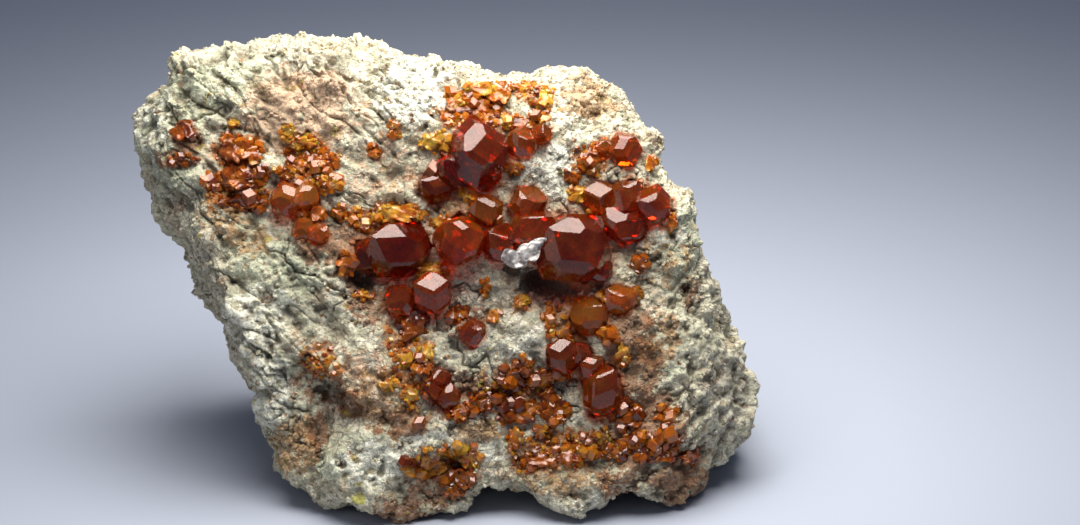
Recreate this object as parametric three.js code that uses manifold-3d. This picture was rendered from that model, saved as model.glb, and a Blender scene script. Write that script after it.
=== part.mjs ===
// A hand specimen of garnet in matrix: a leaning block of pale green rock with orange to deep red
// garnet crystals on its front. Millimetres, +Z up. The origin is the middle of the flat foot that
// the block stands on, and the crystal face looks towards -Y.
//
// The stone is shaped in its own face frame: x to the right, h up along the crystal face, and n out
// of that face. The face leans back, so a place on it is turned and raised into the part's frame.
import * as THREE from "three";
import { ConvexGeometry } from "three/addons/geometries/ConvexGeometry.js";
import { mergeVertices } from "three/addons/utils/BufferGeometryUtils.js";
import Module from "manifold-3d";

const wasm = await Module();
wasm.setup();

// Driving dimensions.
const LEAN = THREE.MathUtils.degToRad(24); // how far the crystal face leans back from upright
const FACE_Y = -8; // where the middle of the face stands, front to back
const FACE_Z = 32; // and how high it is
const CORE_DEPTH = 17; // from the face to the point that all of the stone can be seen from
const EDGE_SHARPNESS = 22; // a higher power makes tighter edges where two broken faces meet
const RIM_GROWTH = 1.01; // makes up for what the rounding of the edges takes off the outline
const RIM_DEPTH = 9; // how far behind the face the outline keeps its small bays and points
const STONE_STEPS = 22; // grid cells across the front, and across the back
const SEAT_GAP = 0.3; // clearance between a crystal and its socket in the stone
const LAYER_DEPTH = 1.3; // half the thickness of the massive garnet under a druse

// The outline of the stone as seen square to its face, anticlockwise from the right-hand tip.
const OUTLINE = [
  [46.6, -15.4], [43, -11], [39.2, -7], [37.8, -1.7], [35.5, 3.2], [34, 8.2], [33.8, 12],
  [30.8, 13.4], [29.8, 16.2], [29.3, 20.8], [27, 23], [25.2, 25.9], [21.5, 28.4], [18.6, 30.1],
  [13.8, 30.1], [11.8, 29.4], [8.9, 30.6], [4.3, 31.3], [1.1, 30.8], [-1, 31.4], [-7.1, 33],
  [-12.6, 34.1], [-16.9, 36.2], [-20.3, 34.7], [-24.3, 34.3], [-29.3, 32.5], [-33.4, 33.3],
  [-40.2, 33.2], [-42.3, 28.7], [-44.6, 25.4], [-46, 20.5], [-45.8, 13], [-42.2, 6.4],
  [-37.9, 1], [-34, -5], [-30.6, -10], [-29.2, -17], [-29.6, -23], [-26.9, -25], [-23.6, -30],
  [-19.8, -33.4], [-12.9, -34.2], [-8.2, -36], [0, -34.8], [4.6, -30], [10, -29.4],
  [13.9, -31], [18.4, -33], [22.4, -31], [25.3, -29], [28.2, -30.4], [32.8, -32], [37.2, -29.8],
  [41.6, -24.5], [46, -19.8],
];

// The broken faces that bound the stone: a point on each, and the way that it looks, as its tilt
// from the crystal face and the direction of that tilt (0 right, 90 up), in degrees.
const BROKEN_FACES = [
  { name: "crystal face", at: [0, 0, 0.4], tilt: 0, toward: 0 },
  { name: "bright top slope", at: [-6, 24, 0], tilt: 27, toward: 84 },
  { name: "upper left slope", at: [-31, 24, 0], tilt: 14, toward: 140 },
  { name: "left flank", at: [-37.5, 1, -8], tilt: 68, toward: 203 },
  { name: "lower left slope", at: [-25, -25, -1.5], tilt: 32, toward: 226 },
  { name: "right slope", at: [35, 11, -1.5], tilt: 33, toward: 12 },
  { name: "lower right slope", at: [36, -16, -1], tilt: 38, toward: -22 },
  { name: "upper right slope", at: [25.5, 25.5, -1], tilt: 40, toward: 52 },
  { name: "back", at: [0, 0, -31.5], tilt: 156, toward: 90 },
  { name: "back left", at: [-45, 17, -17], tilt: 124, toward: 190 },
  { name: "back lower left", at: [-29, -20, -22], tilt: 112, toward: 214 },
  { name: "back right", at: [46, -16, -18], tilt: 120, toward: -4 },
  { name: "back top", at: [-8, 35, -13], tilt: 122, toward: 86 },
  { name: "back upper right", at: [28, 27, -15], tilt: 126, toward: 46 },
  { name: "underside", at: [0, -35.3, 0], tilt: 114, toward: -90 },
];

// Swells and hollows of the surface: place, radius and height, negative for a hollow.
const SWELLS = [
  { name: "brow above the band", at: [4, 10, 0], radius: 9, height: 1 },
  { name: "shelf under the band", at: [15.5, 2.2, 0], radius: 6, height: 1.6 },
  { name: "hollow under the largest garnet", at: [15.5, -2.2, 0], radius: 4.6, height: -2.8 },
  { name: "hollow under the left garnets", at: [-10, 0.5, 0], radius: 4.5, height: -1.8 },
  { name: "white knob", at: [10.5, -7.6, 0], radius: 5, height: 2.2 },
  { name: "white knob, upper", at: [15, 17.5, 0], radius: 5, height: 1.5 },
  { name: "knob by the right rim", at: [33, 10, -2], radius: 4, height: 1.6 },
  { name: "pit in the brown patch", at: [-13.5, -18, 0], radius: 3.2, height: -2.2 },
  { name: "rim of that pit", at: [-13.5, -13.5, 0], radius: 4, height: 1.1 },
  { name: "cleft below the brown patch", at: [-19, -20.5, 0], radius: 2.6, height: -2.4 },
  { name: "front lobe", at: [-10, -27, 0], radius: 7, height: 2 },
  { name: "shelf above the druse", at: [-1.5, -21.6, 0], radius: 4.5, height: 1.8 },
  { name: "hollow of the druse", at: [-1.6, -26.6, 0], radius: 4.2, height: -2 },
  { name: "middle lobe", at: [17.5, -30, -1], radius: 6, height: 1.6 },
  { name: "right lobe", at: [31, -28, -2], radius: 6, height: 1.4 },
  { name: "left lip", at: [-31, 2, -1], radius: 6, height: 1.2 },
  { name: "left trough", at: [-37, 14, -1], radius: 4, height: -1.2 },
  { name: "foot", at: [0, -20.5, -24], radius: 14, height: 1.2 },
];

const LEAST_SLANT = 0.4; // keeps the relief in bounds where a direction only grazes the form

// Garnets. Each node is one crystal or crystals grown together: the place on the face, the size
// across, the spin about the bright facet, and how far the middle stands out of the stone, as a
// share of the size. long and tall stretch a crystal along x and h.
const GARNETS = {
  garnet_band_right: [
    { at: [17.7, 4.5], across: 9.6, spin: -6, out: 0.34, long: 1.08 },
    { at: [21.3, 1.5], across: 3.4, spin: 20, out: 0.3 },
    { at: [12, 6.8], across: 6.2, spin: 28, out: 0.44, long: 1.2 },
    { at: [7.7, 5.3], across: 5.2, spin: 18, out: 0.38, long: 1.15 },
    { at: [11, 10.7], across: 5.2, spin: -20, out: 0.3 },
  ],
  garnet_band_middle: [
    { at: [1.2, 5.5], across: 7, spin: 35, out: 0.32 },
    { at: [5, 9.9], across: 4.6, spin: 15, out: 0.26 },
  ],
  garnet_band_left: [
    { at: [-7.4, 4.4], across: 7.8, spin: 3, out: 0.3, long: 1.16 },
    { at: [-11.8, 3.6], across: 4.6, spin: -30, out: 0.26 },
  ],
  garnet_cluster_right: [
    { at: [21.4, 11.7], across: 4.8, spin: 4, out: 0.28 },
    { at: [25.2, 11.3], across: 5.6, spin: 70, out: 0.34 },
    { at: [29, 10.7], across: 5.2, spin: 55, out: 0.3 },
    { at: [25, 7.9], across: 5.2, spin: -12, out: 0.24, long: 1.3 },
  ],
  garnet_upper_large: [
    { at: [4, 17.9], across: 8, spin: 50, out: 0.34, tall: 1.15 },
    { at: [0.6, 15.6], across: 5.4, spin: 30, out: 0.28 },
    { at: [-2, 13.3], across: 4.4, spin: -15, out: 0.24, long: 1.15 },
  ],
  garnet_upper_brown: [
    { at: [10.4, 19.7], across: 4.4, spin: 20, out: 0.24 },
    { at: [12.9, 20.8], across: 3, spin: 50, out: 0.24 },
  ],
  garnet_right_upper: [
    { at: [25, 18.7], across: 4.6, spin: 25, out: 0.28 },
    { at: [22.2, 18.9], across: 2.8, spin: 0, out: 0.26 },
  ],
  garnet_left_pair: [
    { at: [-23.2, 11.5], across: 4.6, spin: 15, out: 0.34 },
    { at: [-20.7, 11.9], across: 4, spin: -25, out: 0.34 },
  ],
  garnet_left_low: [
    { at: [-20.8, 7.2], across: 3.4, spin: 40, out: 0.26 },
    { at: [-18.7, 6.5], across: 3, spin: 10, out: 0.3 },
  ],
  garnet_below_band: [
    { at: [-2.6, -1.7], across: 5.6, spin: 8, out: 0.34 },
    { at: [-7, -2.9], across: 4.4, spin: 35, out: 0.3 },
  ],
  garnet_mid_small: [{ at: [3.3, -7.6], across: 3.6, spin: 0, out: 0.26 }],
  garnet_mid_low: [
    { at: [-1.4, -14.2], across: 3.2, spin: 20, out: 0.3 },
    { at: [-0.4, -16.6], across: 3.6, spin: 50, out: 0.26 },
  ],
  garnet_low_flat: [
    { at: [20, -5.2], across: 5.4, spin: 45, out: 0.12 },
    { at: [24, -2.8], across: 4.2, spin: 15, out: 0.14, long: 1.25 },
  ],
  garnet_low_facet: [
    { at: [16, -10.8], across: 4.8, spin: 10, out: 0.34 },
    { at: [18.7, -10.4], across: 3.2, spin: -35, out: 0.3 },
  ],
  garnet_low_large: [
    { at: [21.8, -15.9], across: 5.8, spin: 55, out: 0.34, tall: 1.25 },
    { at: [20.2, -12.6], across: 3.8, spin: 15, out: 0.3 },
  ],
};

// Druses: crusts of small garnets on a thin layer of massive garnet. Place, half sizes along and
// across, turn in degrees, the number of crystals, and their sizes across.
const DRUSES = {
  druse_left_ring: { at: [-31, 18.2], reach: [3.3, 1.9], turn: 12, count: 4, across: [1.8, 3] },
  druse_left_middle: { at: [-29.6, 12.6], reach: [4.2, 2.2], turn: 12, count: 5, across: [1.8, 3.4] },
  druse_left_gold: { at: [-20.4, 18], reach: [3.7, 2.8], turn: -34, count: 5, across: [1.8, 3] },
  druse_upper_gold: { at: [-2.4, 20.4], reach: [2.4, 1.6], turn: -20, count: 3, across: [1.8, 2.6] },
  druse_upper_lumps: { at: [3.2, 25.4], reach: [4, 1.7], turn: 16, count: 4, across: [2, 3.4] },
  druse_top_ring: { at: [11.8, 25.4], reach: [3.3, 1.6], turn: -38, count: 3, across: [1.8, 2.6] },
  druse_right_gold: { at: [18.4, 15], reach: [2.3, 1.6], turn: 50, count: 3, across: [1.8, 2.6] },
  druse_mid_column: { at: [-5.4, -10.4], reach: [2.6, 1.5], turn: 75, count: 3, across: [1.8, 2.8] },
  druse_mid_low: { at: [8, -16.4], reach: [5, 2.2], turn: 20, count: 6, across: [2, 3.4] },
  druse_mid_right: { at: [15.2, -18.8], reach: [2.5, 1.7], turn: 60, count: 3, across: [2, 3] },
  druse_hollow: { at: [-1.6, -26.4], reach: [5.6, 2.4], turn: 20, count: 6, across: [2, 3.6] },
  druse_low_left: { at: [17.2, -24.4], reach: [4.8, 1.7], turn: 8, count: 5, across: [1.8, 3] },
  druse_low_right: { at: [28.2, -23.4], reach: [5, 2.5], turn: -30, count: 7, across: [2, 3.6] },
};

// The loose-looking flake of white matrix that hangs on the garnet band.
const FLAKE = { at: [9.8, 3.1], size: [7.4, 3.4, 1.8], turn: 20, out: 3.6 };

// Repeatable numbers.

// A number from 0 to 1 that depends only on a grid cell and a channel.
function hash(i, j, k, channel) {
  const s = Math.sin(i * 127.1 + j * 311.7 + k * 74.7 + channel * 269.5) * 43758.5453;
  return s - Math.floor(s);
}

// Broken-chip relief, about -1 to 1: the cell nearest to a point gives it a height and a slope, and
// near a border between cells the two are blended over a short way.
function chips([x, h, n], size) {
  const [px, py, pz] = [x / size, h / size, n / size];
  const [i, j, k] = [Math.floor(px), Math.floor(py), Math.floor(pz)];
  const blend = 4.5;
  let weights = 0;
  let sum = 0;
  for (let a = i - 1; a <= i + 1; a++)
    for (let b = j - 1; b <= j + 1; b++)
      for (let c = k - 1; c <= k + 1; c++) {
        const dx = px - a - hash(a, b, c, 0);
        const dy = py - b - hash(a, b, c, 1);
        const dz = pz - c - hash(a, b, c, 2);
        const weight = Math.exp(-blend * (dx * dx + dy * dy + dz * dz));
        const slope =
          dx * (hash(a, b, c, 3) - 0.5) + dy * (hash(a, b, c, 4) - 0.5) + dz * (hash(a, b, c, 5) - 0.5);
        weights += weight;
        sum += weight * (hash(a, b, c, 6) - 0.5 + 2 * slope);
      }
  return (2 * sum) / weights;
}

// The shape of the stone, in its face frame.

// The outline's distance from the middle at even turns: as it is, and with its bays and points
// evened out.
const RIM_STEPS = 240;
const RIM = rimRadii();
const EVEN_RIM = RIM.map((_, i) => {
  const spread = 8;
  let sum = 0;
  for (let d = -spread; d <= spread; d++) sum += RIM[(i + d + RIM_STEPS) % RIM_STEPS];
  return sum / (2 * spread + 1);
});

function rimRadii() {
  const polar = OUTLINE.map(([x, h]) => [Math.atan2(h, x), Math.hypot(x, h)]);
  polar.sort((a, b) => a[0] - b[0]);
  const turn = 2 * Math.PI;
  return Array.from({ length: RIM_STEPS }, (_, i) => {
    const angle = (i / RIM_STEPS) * turn - Math.PI;
    const upper = Math.max(polar.findIndex(([a]) => a > angle), 0);
    const [a1, r1] = polar[upper];
    const [a0, r0] = polar[(upper + polar.length - 1) % polar.length];
    const span = (a1 - a0 + turn) % turn;
    const along = (angle - a0 + turn) % turn;
    return RIM_GROWTH * (r0 + ((r1 - r0) * along) / span);
  });
}

// The outline's distance from the middle in one direction, at a depth.
function outlineRadius(angle, n) {
  const place = ((angle + Math.PI) / (2 * Math.PI)) * RIM_STEPS;
  const i = Math.floor(place) % RIM_STEPS;
  const share = place - Math.floor(place);
  const even = THREE.MathUtils.smoothstep(-n, RIM_DEPTH, 2 * RIM_DEPTH);
  const [here, next] = [i, (i + 1) % RIM_STEPS].map((k) => RIM[k] + even * (EVEN_RIM[k] - RIM[k]));
  return here + (next - here) * share;
}

// The unit vector that looks away from a face tilted this much in that direction.
function facing(tilt, toward) {
  const [t, w] = [THREE.MathUtils.degToRad(tilt), THREE.MathUtils.degToRad(toward)];
  return [Math.sin(t) * Math.cos(w), Math.sin(t) * Math.sin(w), Math.cos(t)];
}

const BOUNDS = BROKEN_FACES.map(({ at, tilt, toward }) => {
  const [a, b, c] = facing(tilt, toward);
  const distance = a * at[0] + b * at[1] + c * (at[2] + CORE_DEPTH);
  return [a / distance, b / distance, c / distance];
});

// 1 on the stone's smooth form, less inside and more outside. It joins the outline's prism and the
// broken faces by a high power mean, so their edges are a little rounded.
function form(x, h, n) {
  const m = n + CORE_DEPTH;
  const reach = Math.hypot(x, h);
  let sum = reach > 0 ? (reach / outlineRadius(Math.atan2(h, x), n)) ** EDGE_SHARPNESS : 0;
  for (const [a, b, c] of BOUNDS) {
    const share = a * x + b * h + c * m;
    if (share > 0) sum += share ** EDGE_SHARPNESS;
  }
  return sum ** (1 / EDGE_SHARPNESS);
}

// The way out of the smooth form at a point.
function outward([x, h, n], step = 0.4) {
  const v = new THREE.Vector3(
    form(x + step, h, n) - form(x - step, h, n),
    form(x, h + step, n) - form(x, h - step, n),
    form(x, h, n + step) - form(x, h, n - step),
  );
  return v.normalize().toArray();
}

// How far the real surface stands above the smooth form at a point of it.
function relief(point) {
  const [x, h, n] = point;
  let height = 1.1 * chips(point, 13) + 0.6 * chips([x + 40, h, n], 6.5);
  for (const { at, radius, height: rise } of SWELLS) {
    const away = (x - at[0]) ** 2 + (h - at[1]) ** 2 + (n - at[2]) ** 2;
    height += rise * Math.exp(-away / radius ** 2);
  }
  return height;
}

// The surface in the direction of (x, h, m) from the core. The relief is laid on along that
// direction, lengthened where it leaves the form at a slant, so the surface never folds over.
function surfaceToward(x, h, m) {
  const scale = 1 / form(x, h, m - CORE_DEPTH);
  const base = [x * scale, h * scale, m * scale - CORE_DEPTH];
  const reach = Math.hypot(x, h, m);
  const ray = [x / reach, h / reach, m / reach];
  const way = outward(base);
  const slant = ray[0] * way[0] + ray[1] * way[1] + ray[2] * way[2];
  const rise = relief(base) / Math.max(slant, LEAST_SLANT);
  return base.map((value, axis) => value + ray[axis] * rise);
}

// The point of the crystal face at (x, h).
function seat(x, h) {
  let [low, high] = [-CORE_DEPTH, 12];
  for (let step = 0; step < 30; step++) {
    const middle = (low + high) / 2;
    if (form(x, h, middle) < 1) low = middle;
    else high = middle;
  }
  const base = [x, h, low];
  return [x, h, low + relief(base) / Math.max(outward(base)[2], LEAST_SLANT)];
}

// From the face frame into the part's frame.
function standing([x, h, n]) {
  return new THREE.Vector3(
    x,
    FACE_Y + h * Math.sin(LEAN) - n * Math.cos(LEAN),
    FACE_Z + h * Math.cos(LEAN) + n * Math.sin(LEAN),
  );
}

// Solids.

// A closed geometry as a solid for joining and cutting.
function solidOf(geometry) {
  const bare = new THREE.BufferGeometry();
  bare.setAttribute("position", geometry.getAttribute("position"));
  if (geometry.index) bare.setIndex(geometry.index);
  const merged = mergeVertices(bare, 1e-4);
  return new wasm.Manifold(
    new wasm.Mesh({
      numProp: 3,
      vertProperties: merged.attributes.position.array,
      triVerts: new Uint32Array(merged.index.array),
    }),
  );
}

// A solid as a named mesh with its material.
function meshOf(name, solid, material) {
  const data = solid.getMesh();
  const count = data.numVert;
  const positions = new Float32Array(count * 3);
  for (let v = 0; v < count; v++)
    positions.set(data.vertProperties.subarray(v * data.numProp, v * data.numProp + 3), v * 3);
  const geometry = new THREE.BufferGeometry();
  geometry.setAttribute("position", new THREE.BufferAttribute(positions, 3));
  geometry.setIndex(new THREE.BufferAttribute(data.triVerts, 1));
  geometry.computeVertexNormals();
  const mesh = new THREE.Mesh(geometry, material);
  mesh.name = name;
  return mesh;
}

// One side of the stone: a square grid wrapped round half of the stone, front (+1) or back (-1).
// Rings of the square become rings of the outline, and its last rings run over the rim.
function stoneSide(side) {
  const grid = new THREE.PlaneGeometry(2, 2, STONE_STEPS, STONE_STEPS);
  const place = grid.getAttribute("position");
  const half = side > 0 ? CORE_DEPTH : 15;
  for (let v = 0; v < place.count; v++) {
    const [a, b] = [place.getX(v), place.getY(v)];
    const ring = Math.max(Math.abs(a), Math.abs(b));
    const share = ring === 0 ? 0 : Math.min(Math.abs(a), Math.abs(b)) / ring;
    const corner = (share * Math.PI) / 4;
    const steep = Math.abs(b) > Math.abs(a) ? Math.PI / 2 - corner : corner;
    const angle = Math.atan2(Math.sin(steep) * Math.sign(b || 1), Math.cos(steep) * Math.sign(a || 1));
    const radius = outlineRadius(angle, 0);
    const walked = ring * (radius + half);
    const out = Math.min(walked, radius);
    const deep = half - Math.max(walked - radius, 0);
    const [x, h, n] = surfaceToward(out * Math.cos(angle), out * Math.sin(angle), side * deep);
    place.setXYZ(v, ...standing([x, h, n]).toArray());
  }
  grid.setIndex(splitCells(place, side));
  return grid.toNonIndexed();
}

// Triangles for the grid: each cell is split along its shorter diagonal, so that the edges of the
// stone run straight.
function splitCells(place, side) {
  const row = STONE_STEPS + 1;
  const corner = (v) => new THREE.Vector3().fromBufferAttribute(place, v);
  const triangles = [];
  for (let j = 0; j < STONE_STEPS; j++)
    for (let i = 0; i < STONE_STEPS; i++) {
      const [a, b] = [j * row + i, j * row + i + 1];
      const [c, d] = [a + row, b + row];
      const rising = corner(c).distanceTo(corner(b)) < corner(a).distanceTo(corner(d));
      const cell = rising ? [a, c, b, c, d, b] : [a, c, d, a, d, b];
      triangles.push(...(side > 0 ? cell : cell.reverse()));
    }
  return triangles;
}

// The whole block, with its feet cut flat at the ground.
function block() {
  const sides = [stoneSide(1), stoneSide(-1)];
  const arrays = sides.map((side) => side.getAttribute("position").array);
  const positions = new Float32Array(arrays[0].length + arrays[1].length);
  positions.set(arrays[0], 0);
  positions.set(arrays[1], arrays[0].length);
  const both = new THREE.BufferGeometry();
  both.setAttribute("position", new THREE.BufferAttribute(positions, 3));
  const deep = 30;
  const ground = new THREE.BoxGeometry(200, 200, deep).translate(0, 0, -deep / 2);
  return solidOf(both).subtract(solidOf(ground));
}

// The direction on the face frame that mirrors light from above to the viewer: halfway between the
// way out of the face and straight up.
const BRIGHT = new THREE.Vector3(0, Math.cos(LEAN), 1 + Math.sin(LEAN)).normalize();

// A garnet crystal, 1 across its flat faces: a rhombic dodecahedron whose edges are bevelled by
// the trapezohedron. bevel is the trapezohedron's size as a share of the other's.
function garnetForm(bevel) {
  const signs = [-1, 1];
  const rhombs = [];
  const kites = [];
  const a = 0.5 / Math.SQRT2;
  const s = (0.5 * bevel * Math.sqrt(6)) / 2;
  for (const i of signs)
    for (const j of signs)
      for (const k of signs) {
        rhombs.push(new THREE.Vector3(i, j, k).multiplyScalar(a));
        kites.push(new THREE.Vector3(i, j, k).multiplyScalar(s / 2));
      }
  for (const i of signs)
    for (let axis = 0; axis < 3; axis++) {
      rhombs.push(new THREE.Vector3().setComponent(axis, 2 * a * i));
      kites.push(new THREE.Vector3().setComponent(axis, s * i));
      for (const j of signs) {
        const edge = new THREE.Vector3().setComponent(axis, (2 * s * i) / 3);
        kites.push(edge.setComponent((axis + 1) % 3, (2 * s * j) / 3));
      }
    }
  if (bevel >= 1.15) return solidOf(new ConvexGeometry(rhombs));
  return solidOf(new ConvexGeometry(rhombs)).intersect(solidOf(new ConvexGeometry(kites)));
}

const PLAIN_GARNET = garnetForm(1.2);
const BEVELLED_GARNET = garnetForm(1.02);
const BEVEL_FROM = 7; // crystals of this size and over show the second form

// The two kinds of face that look in the bright direction, and what lies level in each at no spin:
// a rhomb's long diagonal, or the length of the narrow face that bevels an edge.
const RHOMB_FACE = { out: [1, 1, 0], level: [1, -1, 0] };
const NARROW_FACE = { out: [2, 1, 1], level: [-1, 1, 1] };

// The turn that takes a face of the crystal form to the bright direction, then spins it about that.
function turnTo({ out, level }, bright, spin) {
  const face = new THREE.Vector3(...out).normalize();
  const along = new THREE.Vector3(...level).normalize();
  const own = new THREE.Matrix4().makeBasis(along, face.clone().cross(along), face);
  const right = new THREE.Vector3(1, 0, 0).projectOnPlane(bright).normalize();
  const seen = new THREE.Matrix4().makeBasis(right, bright.clone().cross(right), bright);
  const spun = new THREE.Matrix4().makeRotationAxis(bright, THREE.MathUtils.degToRad(spin));
  return spun.multiply(seen).multiply(own.transpose());
}

// One crystal, in the part's frame, with a face in the bright direction, give or take the wobble.
function crystal({ at, across, spin, out, long = 1, tall = 1, wobble = [0, 0] }, extra = 0) {
  const [x, h, n] = seat(...at);
  const middle = [x, h, n + across * (out - 0.5) + 0.18 * across];
  const size = across + 2 * extra;
  const bevelled = across >= BEVEL_FROM;
  const bright = BRIGHT.clone().add(new THREE.Vector3(wobble[0], wobble[1], 0)).normalize();
  const place = new THREE.Matrix4().makeRotationX(Math.PI / 2 - LEAN);
  const local = new THREE.Matrix4().makeScale(size * long, size * tall, size);
  local.multiply(turnTo(bevelled ? NARROW_FACE : RHOMB_FACE, bright, spin));
  place.multiply(local).setPosition(standing(middle));
  const form = bevelled && extra === 0 ? BEVELLED_GARNET : PLAIN_GARNET;
  return form.transform([...place.elements]);
}

// Crystals joined in one solid.
function grownTogether(crystals) {
  return crystals.map((one) => crystal(one)).reduce((sum, solid) => sum.add(solid));
}

// The hole that crystals sit in: each crystal's plain form, grown by the clearance.
function socketOf(crystals) {
  return crystals.map((one) => crystal(one, SEAT_GAP)).reduce((sum, solid) => sum.add(solid));
}

// The corners of a solid.
function cornersOf(solid) {
  const { vertProperties, numProp, numVert } = solid.getMesh();
  return Array.from({ length: numVert }, (_, v) =>
    new THREE.Vector3().fromArray(vertProperties, v * numProp),
  );
}

// The tightest convex solid round other solids.
function wrapped(solids) {
  return solidOf(new ConvexGeometry(solids.flatMap(cornersOf)));
}

// The crystals of a druse: spread like seeds in a sunflower head, larger ones near the middle.
function druseCrystals(name, { at, reach, turn, count, across }) {
  const golden = Math.PI * (3 - Math.sqrt(5));
  const seed = name.length * 7 + count;
  const lie = THREE.MathUtils.degToRad(turn);
  return Array.from({ length: count }, (_, i) => {
    const from = Math.sqrt((i + 0.4) / count);
    const angle = i * golden + seed;
    const along = reach[0] * from * Math.cos(angle);
    const over = reach[1] * from * Math.sin(angle);
    return {
      at: [
        at[0] + along * Math.cos(lie) - over * Math.sin(lie),
        at[1] + along * Math.sin(lie) + over * Math.cos(lie),
      ],
      across: across[0] + (across[1] - across[0]) * (0.6 * (1 - from) + 0.4 * hash(i, seed, 0, 7)),
      spin: 90 * hash(i, seed, 1, 7),
      out: 0.24 + 0.14 * hash(i, seed, 2, 7),
      wobble: [0.5 * hash(i, seed, 3, 7) - 0.25, 0.5 * hash(i, seed, 4, 7) - 0.25],
    };
  });
}

// The layer of massive garnet under a druse: a flat lens that lies in the surface.
function druseLayer({ at, reach, turn }, extra = 0) {
  const lens = new THREE.SphereGeometry(1, 8, 3).rotateX(Math.PI / 2);
  lens.scale(reach[0] + extra, reach[1] + extra, LAYER_DEPTH + extra);
  const [x, h, n] = seat(...at);
  const lie = new THREE.Matrix4().makeRotationX(Math.PI / 2 - LEAN);
  lie.multiply(new THREE.Matrix4().makeRotationZ(THREE.MathUtils.degToRad(turn)));
  lens.applyMatrix4(lie.setPosition(standing([x, h, n - 0.3])));
  return solidOf(lens);
}

// The largest body of a solid that cutting may have parted.
function mainBody(solid) {
  return solid.decompose().reduce((most, body) => (body.volume() > most.volume() ? body : most));
}

// The white flake: a jagged plate, clear of the garnets behind it.
function flake() {
  const { at, size, turn, out } = FLAKE;
  const corners = [];
  for (let i = 0; i < 11; i++) {
    const angle = (i / 11) * 2 * Math.PI;
    const far = 0.62 + 0.38 * hash(i, 3, 0, 8);
    for (const side of [-0.5, 0.5])
      corners.push(
        new THREE.Vector3(
          (far * Math.cos(angle) * size[0]) / 2,
          (far * Math.sin(angle) * size[1]) / 2,
          side * size[2] * (0.6 + 0.4 * hash(i, 4, side, 8)),
        ),
      );
  }
  const [x, h] = at;
  const n = seat(x, h)[2] + out;
  const lie = new THREE.Matrix4().makeRotationX(Math.PI / 2 - LEAN);
  lie.multiply(new THREE.Matrix4().makeRotationZ(THREE.MathUtils.degToRad(turn)));
  const plate = new ConvexGeometry(corners).applyMatrix4(lie.setPosition(standing([x, h, n])));
  return solidOf(plate);
}

// Materials.

const ROCK = new THREE.MeshStandardMaterial({ color: 0xcdd0b8, roughness: 0.92, metalness: 0 });
const WHITE_ROCK = new THREE.MeshStandardMaterial({ color: 0xdcdcd6, roughness: 0.85, metalness: 0 });
const RED_GARNET = new THREE.MeshStandardMaterial({ color: 0x7a1c0c, roughness: 0.12, metalness: 0 });
const ORANGE_GARNET = new THREE.MeshStandardMaterial({ color: 0xb5560f, roughness: 0.18, metalness: 0 });

// The specimen.

const specimen = new THREE.Group();
let stone = block();
let taken = null; // the room that the crystals fill, with their clearance

for (const [name, crystals] of Object.entries(GARNETS)) {
  const socket = socketOf(crystals);
  const grown = grownTogether(crystals);
  const parted = taken ? mainBody(grown.subtract(taken)) : grown;
  specimen.add(meshOf(name, parted, RED_GARNET));
  stone = stone.subtract(socket);
  taken = taken ? taken.add(socket) : socket;
}

for (const [name, druse] of Object.entries(DRUSES)) {
  const crystals = druseCrystals(name, druse);
  const crust = grownTogether(crystals).add(druseLayer(druse)).subtract(taken);
  const grown = crystals.map((one) => crystal(one, SEAT_GAP));
  specimen.add(meshOf(name, mainBody(crust), ORANGE_GARNET));
  stone = stone.subtract(wrapped([...grown, druseLayer(druse, SEAT_GAP)]));
  taken = taken.add(socketOf(crystals)).add(druseLayer(druse, SEAT_GAP));
}

specimen.add(meshOf("white_flake", mainBody(flake().subtract(taken)), WHITE_ROCK));
specimen.add(meshOf("matrix", mainBody(stone), ROCK));

export default specimen;
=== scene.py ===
"""A hand specimen of garnet in matrix: a leaning block of pale green granular rock with orange to
deep red garnets across its front, on a plain pale floor under a soft light from above and a weak
fill from the left.

Lengths are millimetres until a mesh is made. A place on the stone is given in its face frame: x to
the right, h up along the crystal face, and n out of that face."""

from itertools import combinations, product

import bmesh
import bpy
import numpy as np
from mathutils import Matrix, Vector


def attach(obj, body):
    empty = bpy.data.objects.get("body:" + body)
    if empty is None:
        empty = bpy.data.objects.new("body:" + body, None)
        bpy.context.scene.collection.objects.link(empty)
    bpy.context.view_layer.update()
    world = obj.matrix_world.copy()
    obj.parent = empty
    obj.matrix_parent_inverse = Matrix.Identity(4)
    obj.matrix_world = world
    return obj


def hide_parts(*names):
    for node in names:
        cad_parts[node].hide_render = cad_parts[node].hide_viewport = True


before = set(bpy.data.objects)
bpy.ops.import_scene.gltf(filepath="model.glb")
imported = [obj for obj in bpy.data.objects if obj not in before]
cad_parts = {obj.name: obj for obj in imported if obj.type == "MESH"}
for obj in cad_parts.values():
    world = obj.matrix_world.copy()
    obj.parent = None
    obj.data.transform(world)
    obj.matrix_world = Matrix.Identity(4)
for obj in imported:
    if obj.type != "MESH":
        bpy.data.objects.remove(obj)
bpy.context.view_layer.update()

MM = 0.001

# The stone's form, as its solid has it.
LEAN = np.radians(24)
FACE_Y = -8.0  # where the face frame's middle is in the part's frame
FACE_Z = 32.0
CORE_DEPTH = 17.0  # how far behind that middle the core lies, from which the surface is reached
EDGE_SHARPNESS = 22
RIM_GROWTH = 1.01
RIM_DEPTH = 9.0  # the outline is as drawn down to here, and even from twice as deep
RIM_STEPS = 240
EVEN_REACH = 8
LEAST_SLANT = 0.4
OUTERMOST = 12.0  # nothing of the crystal face stands further out

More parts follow.
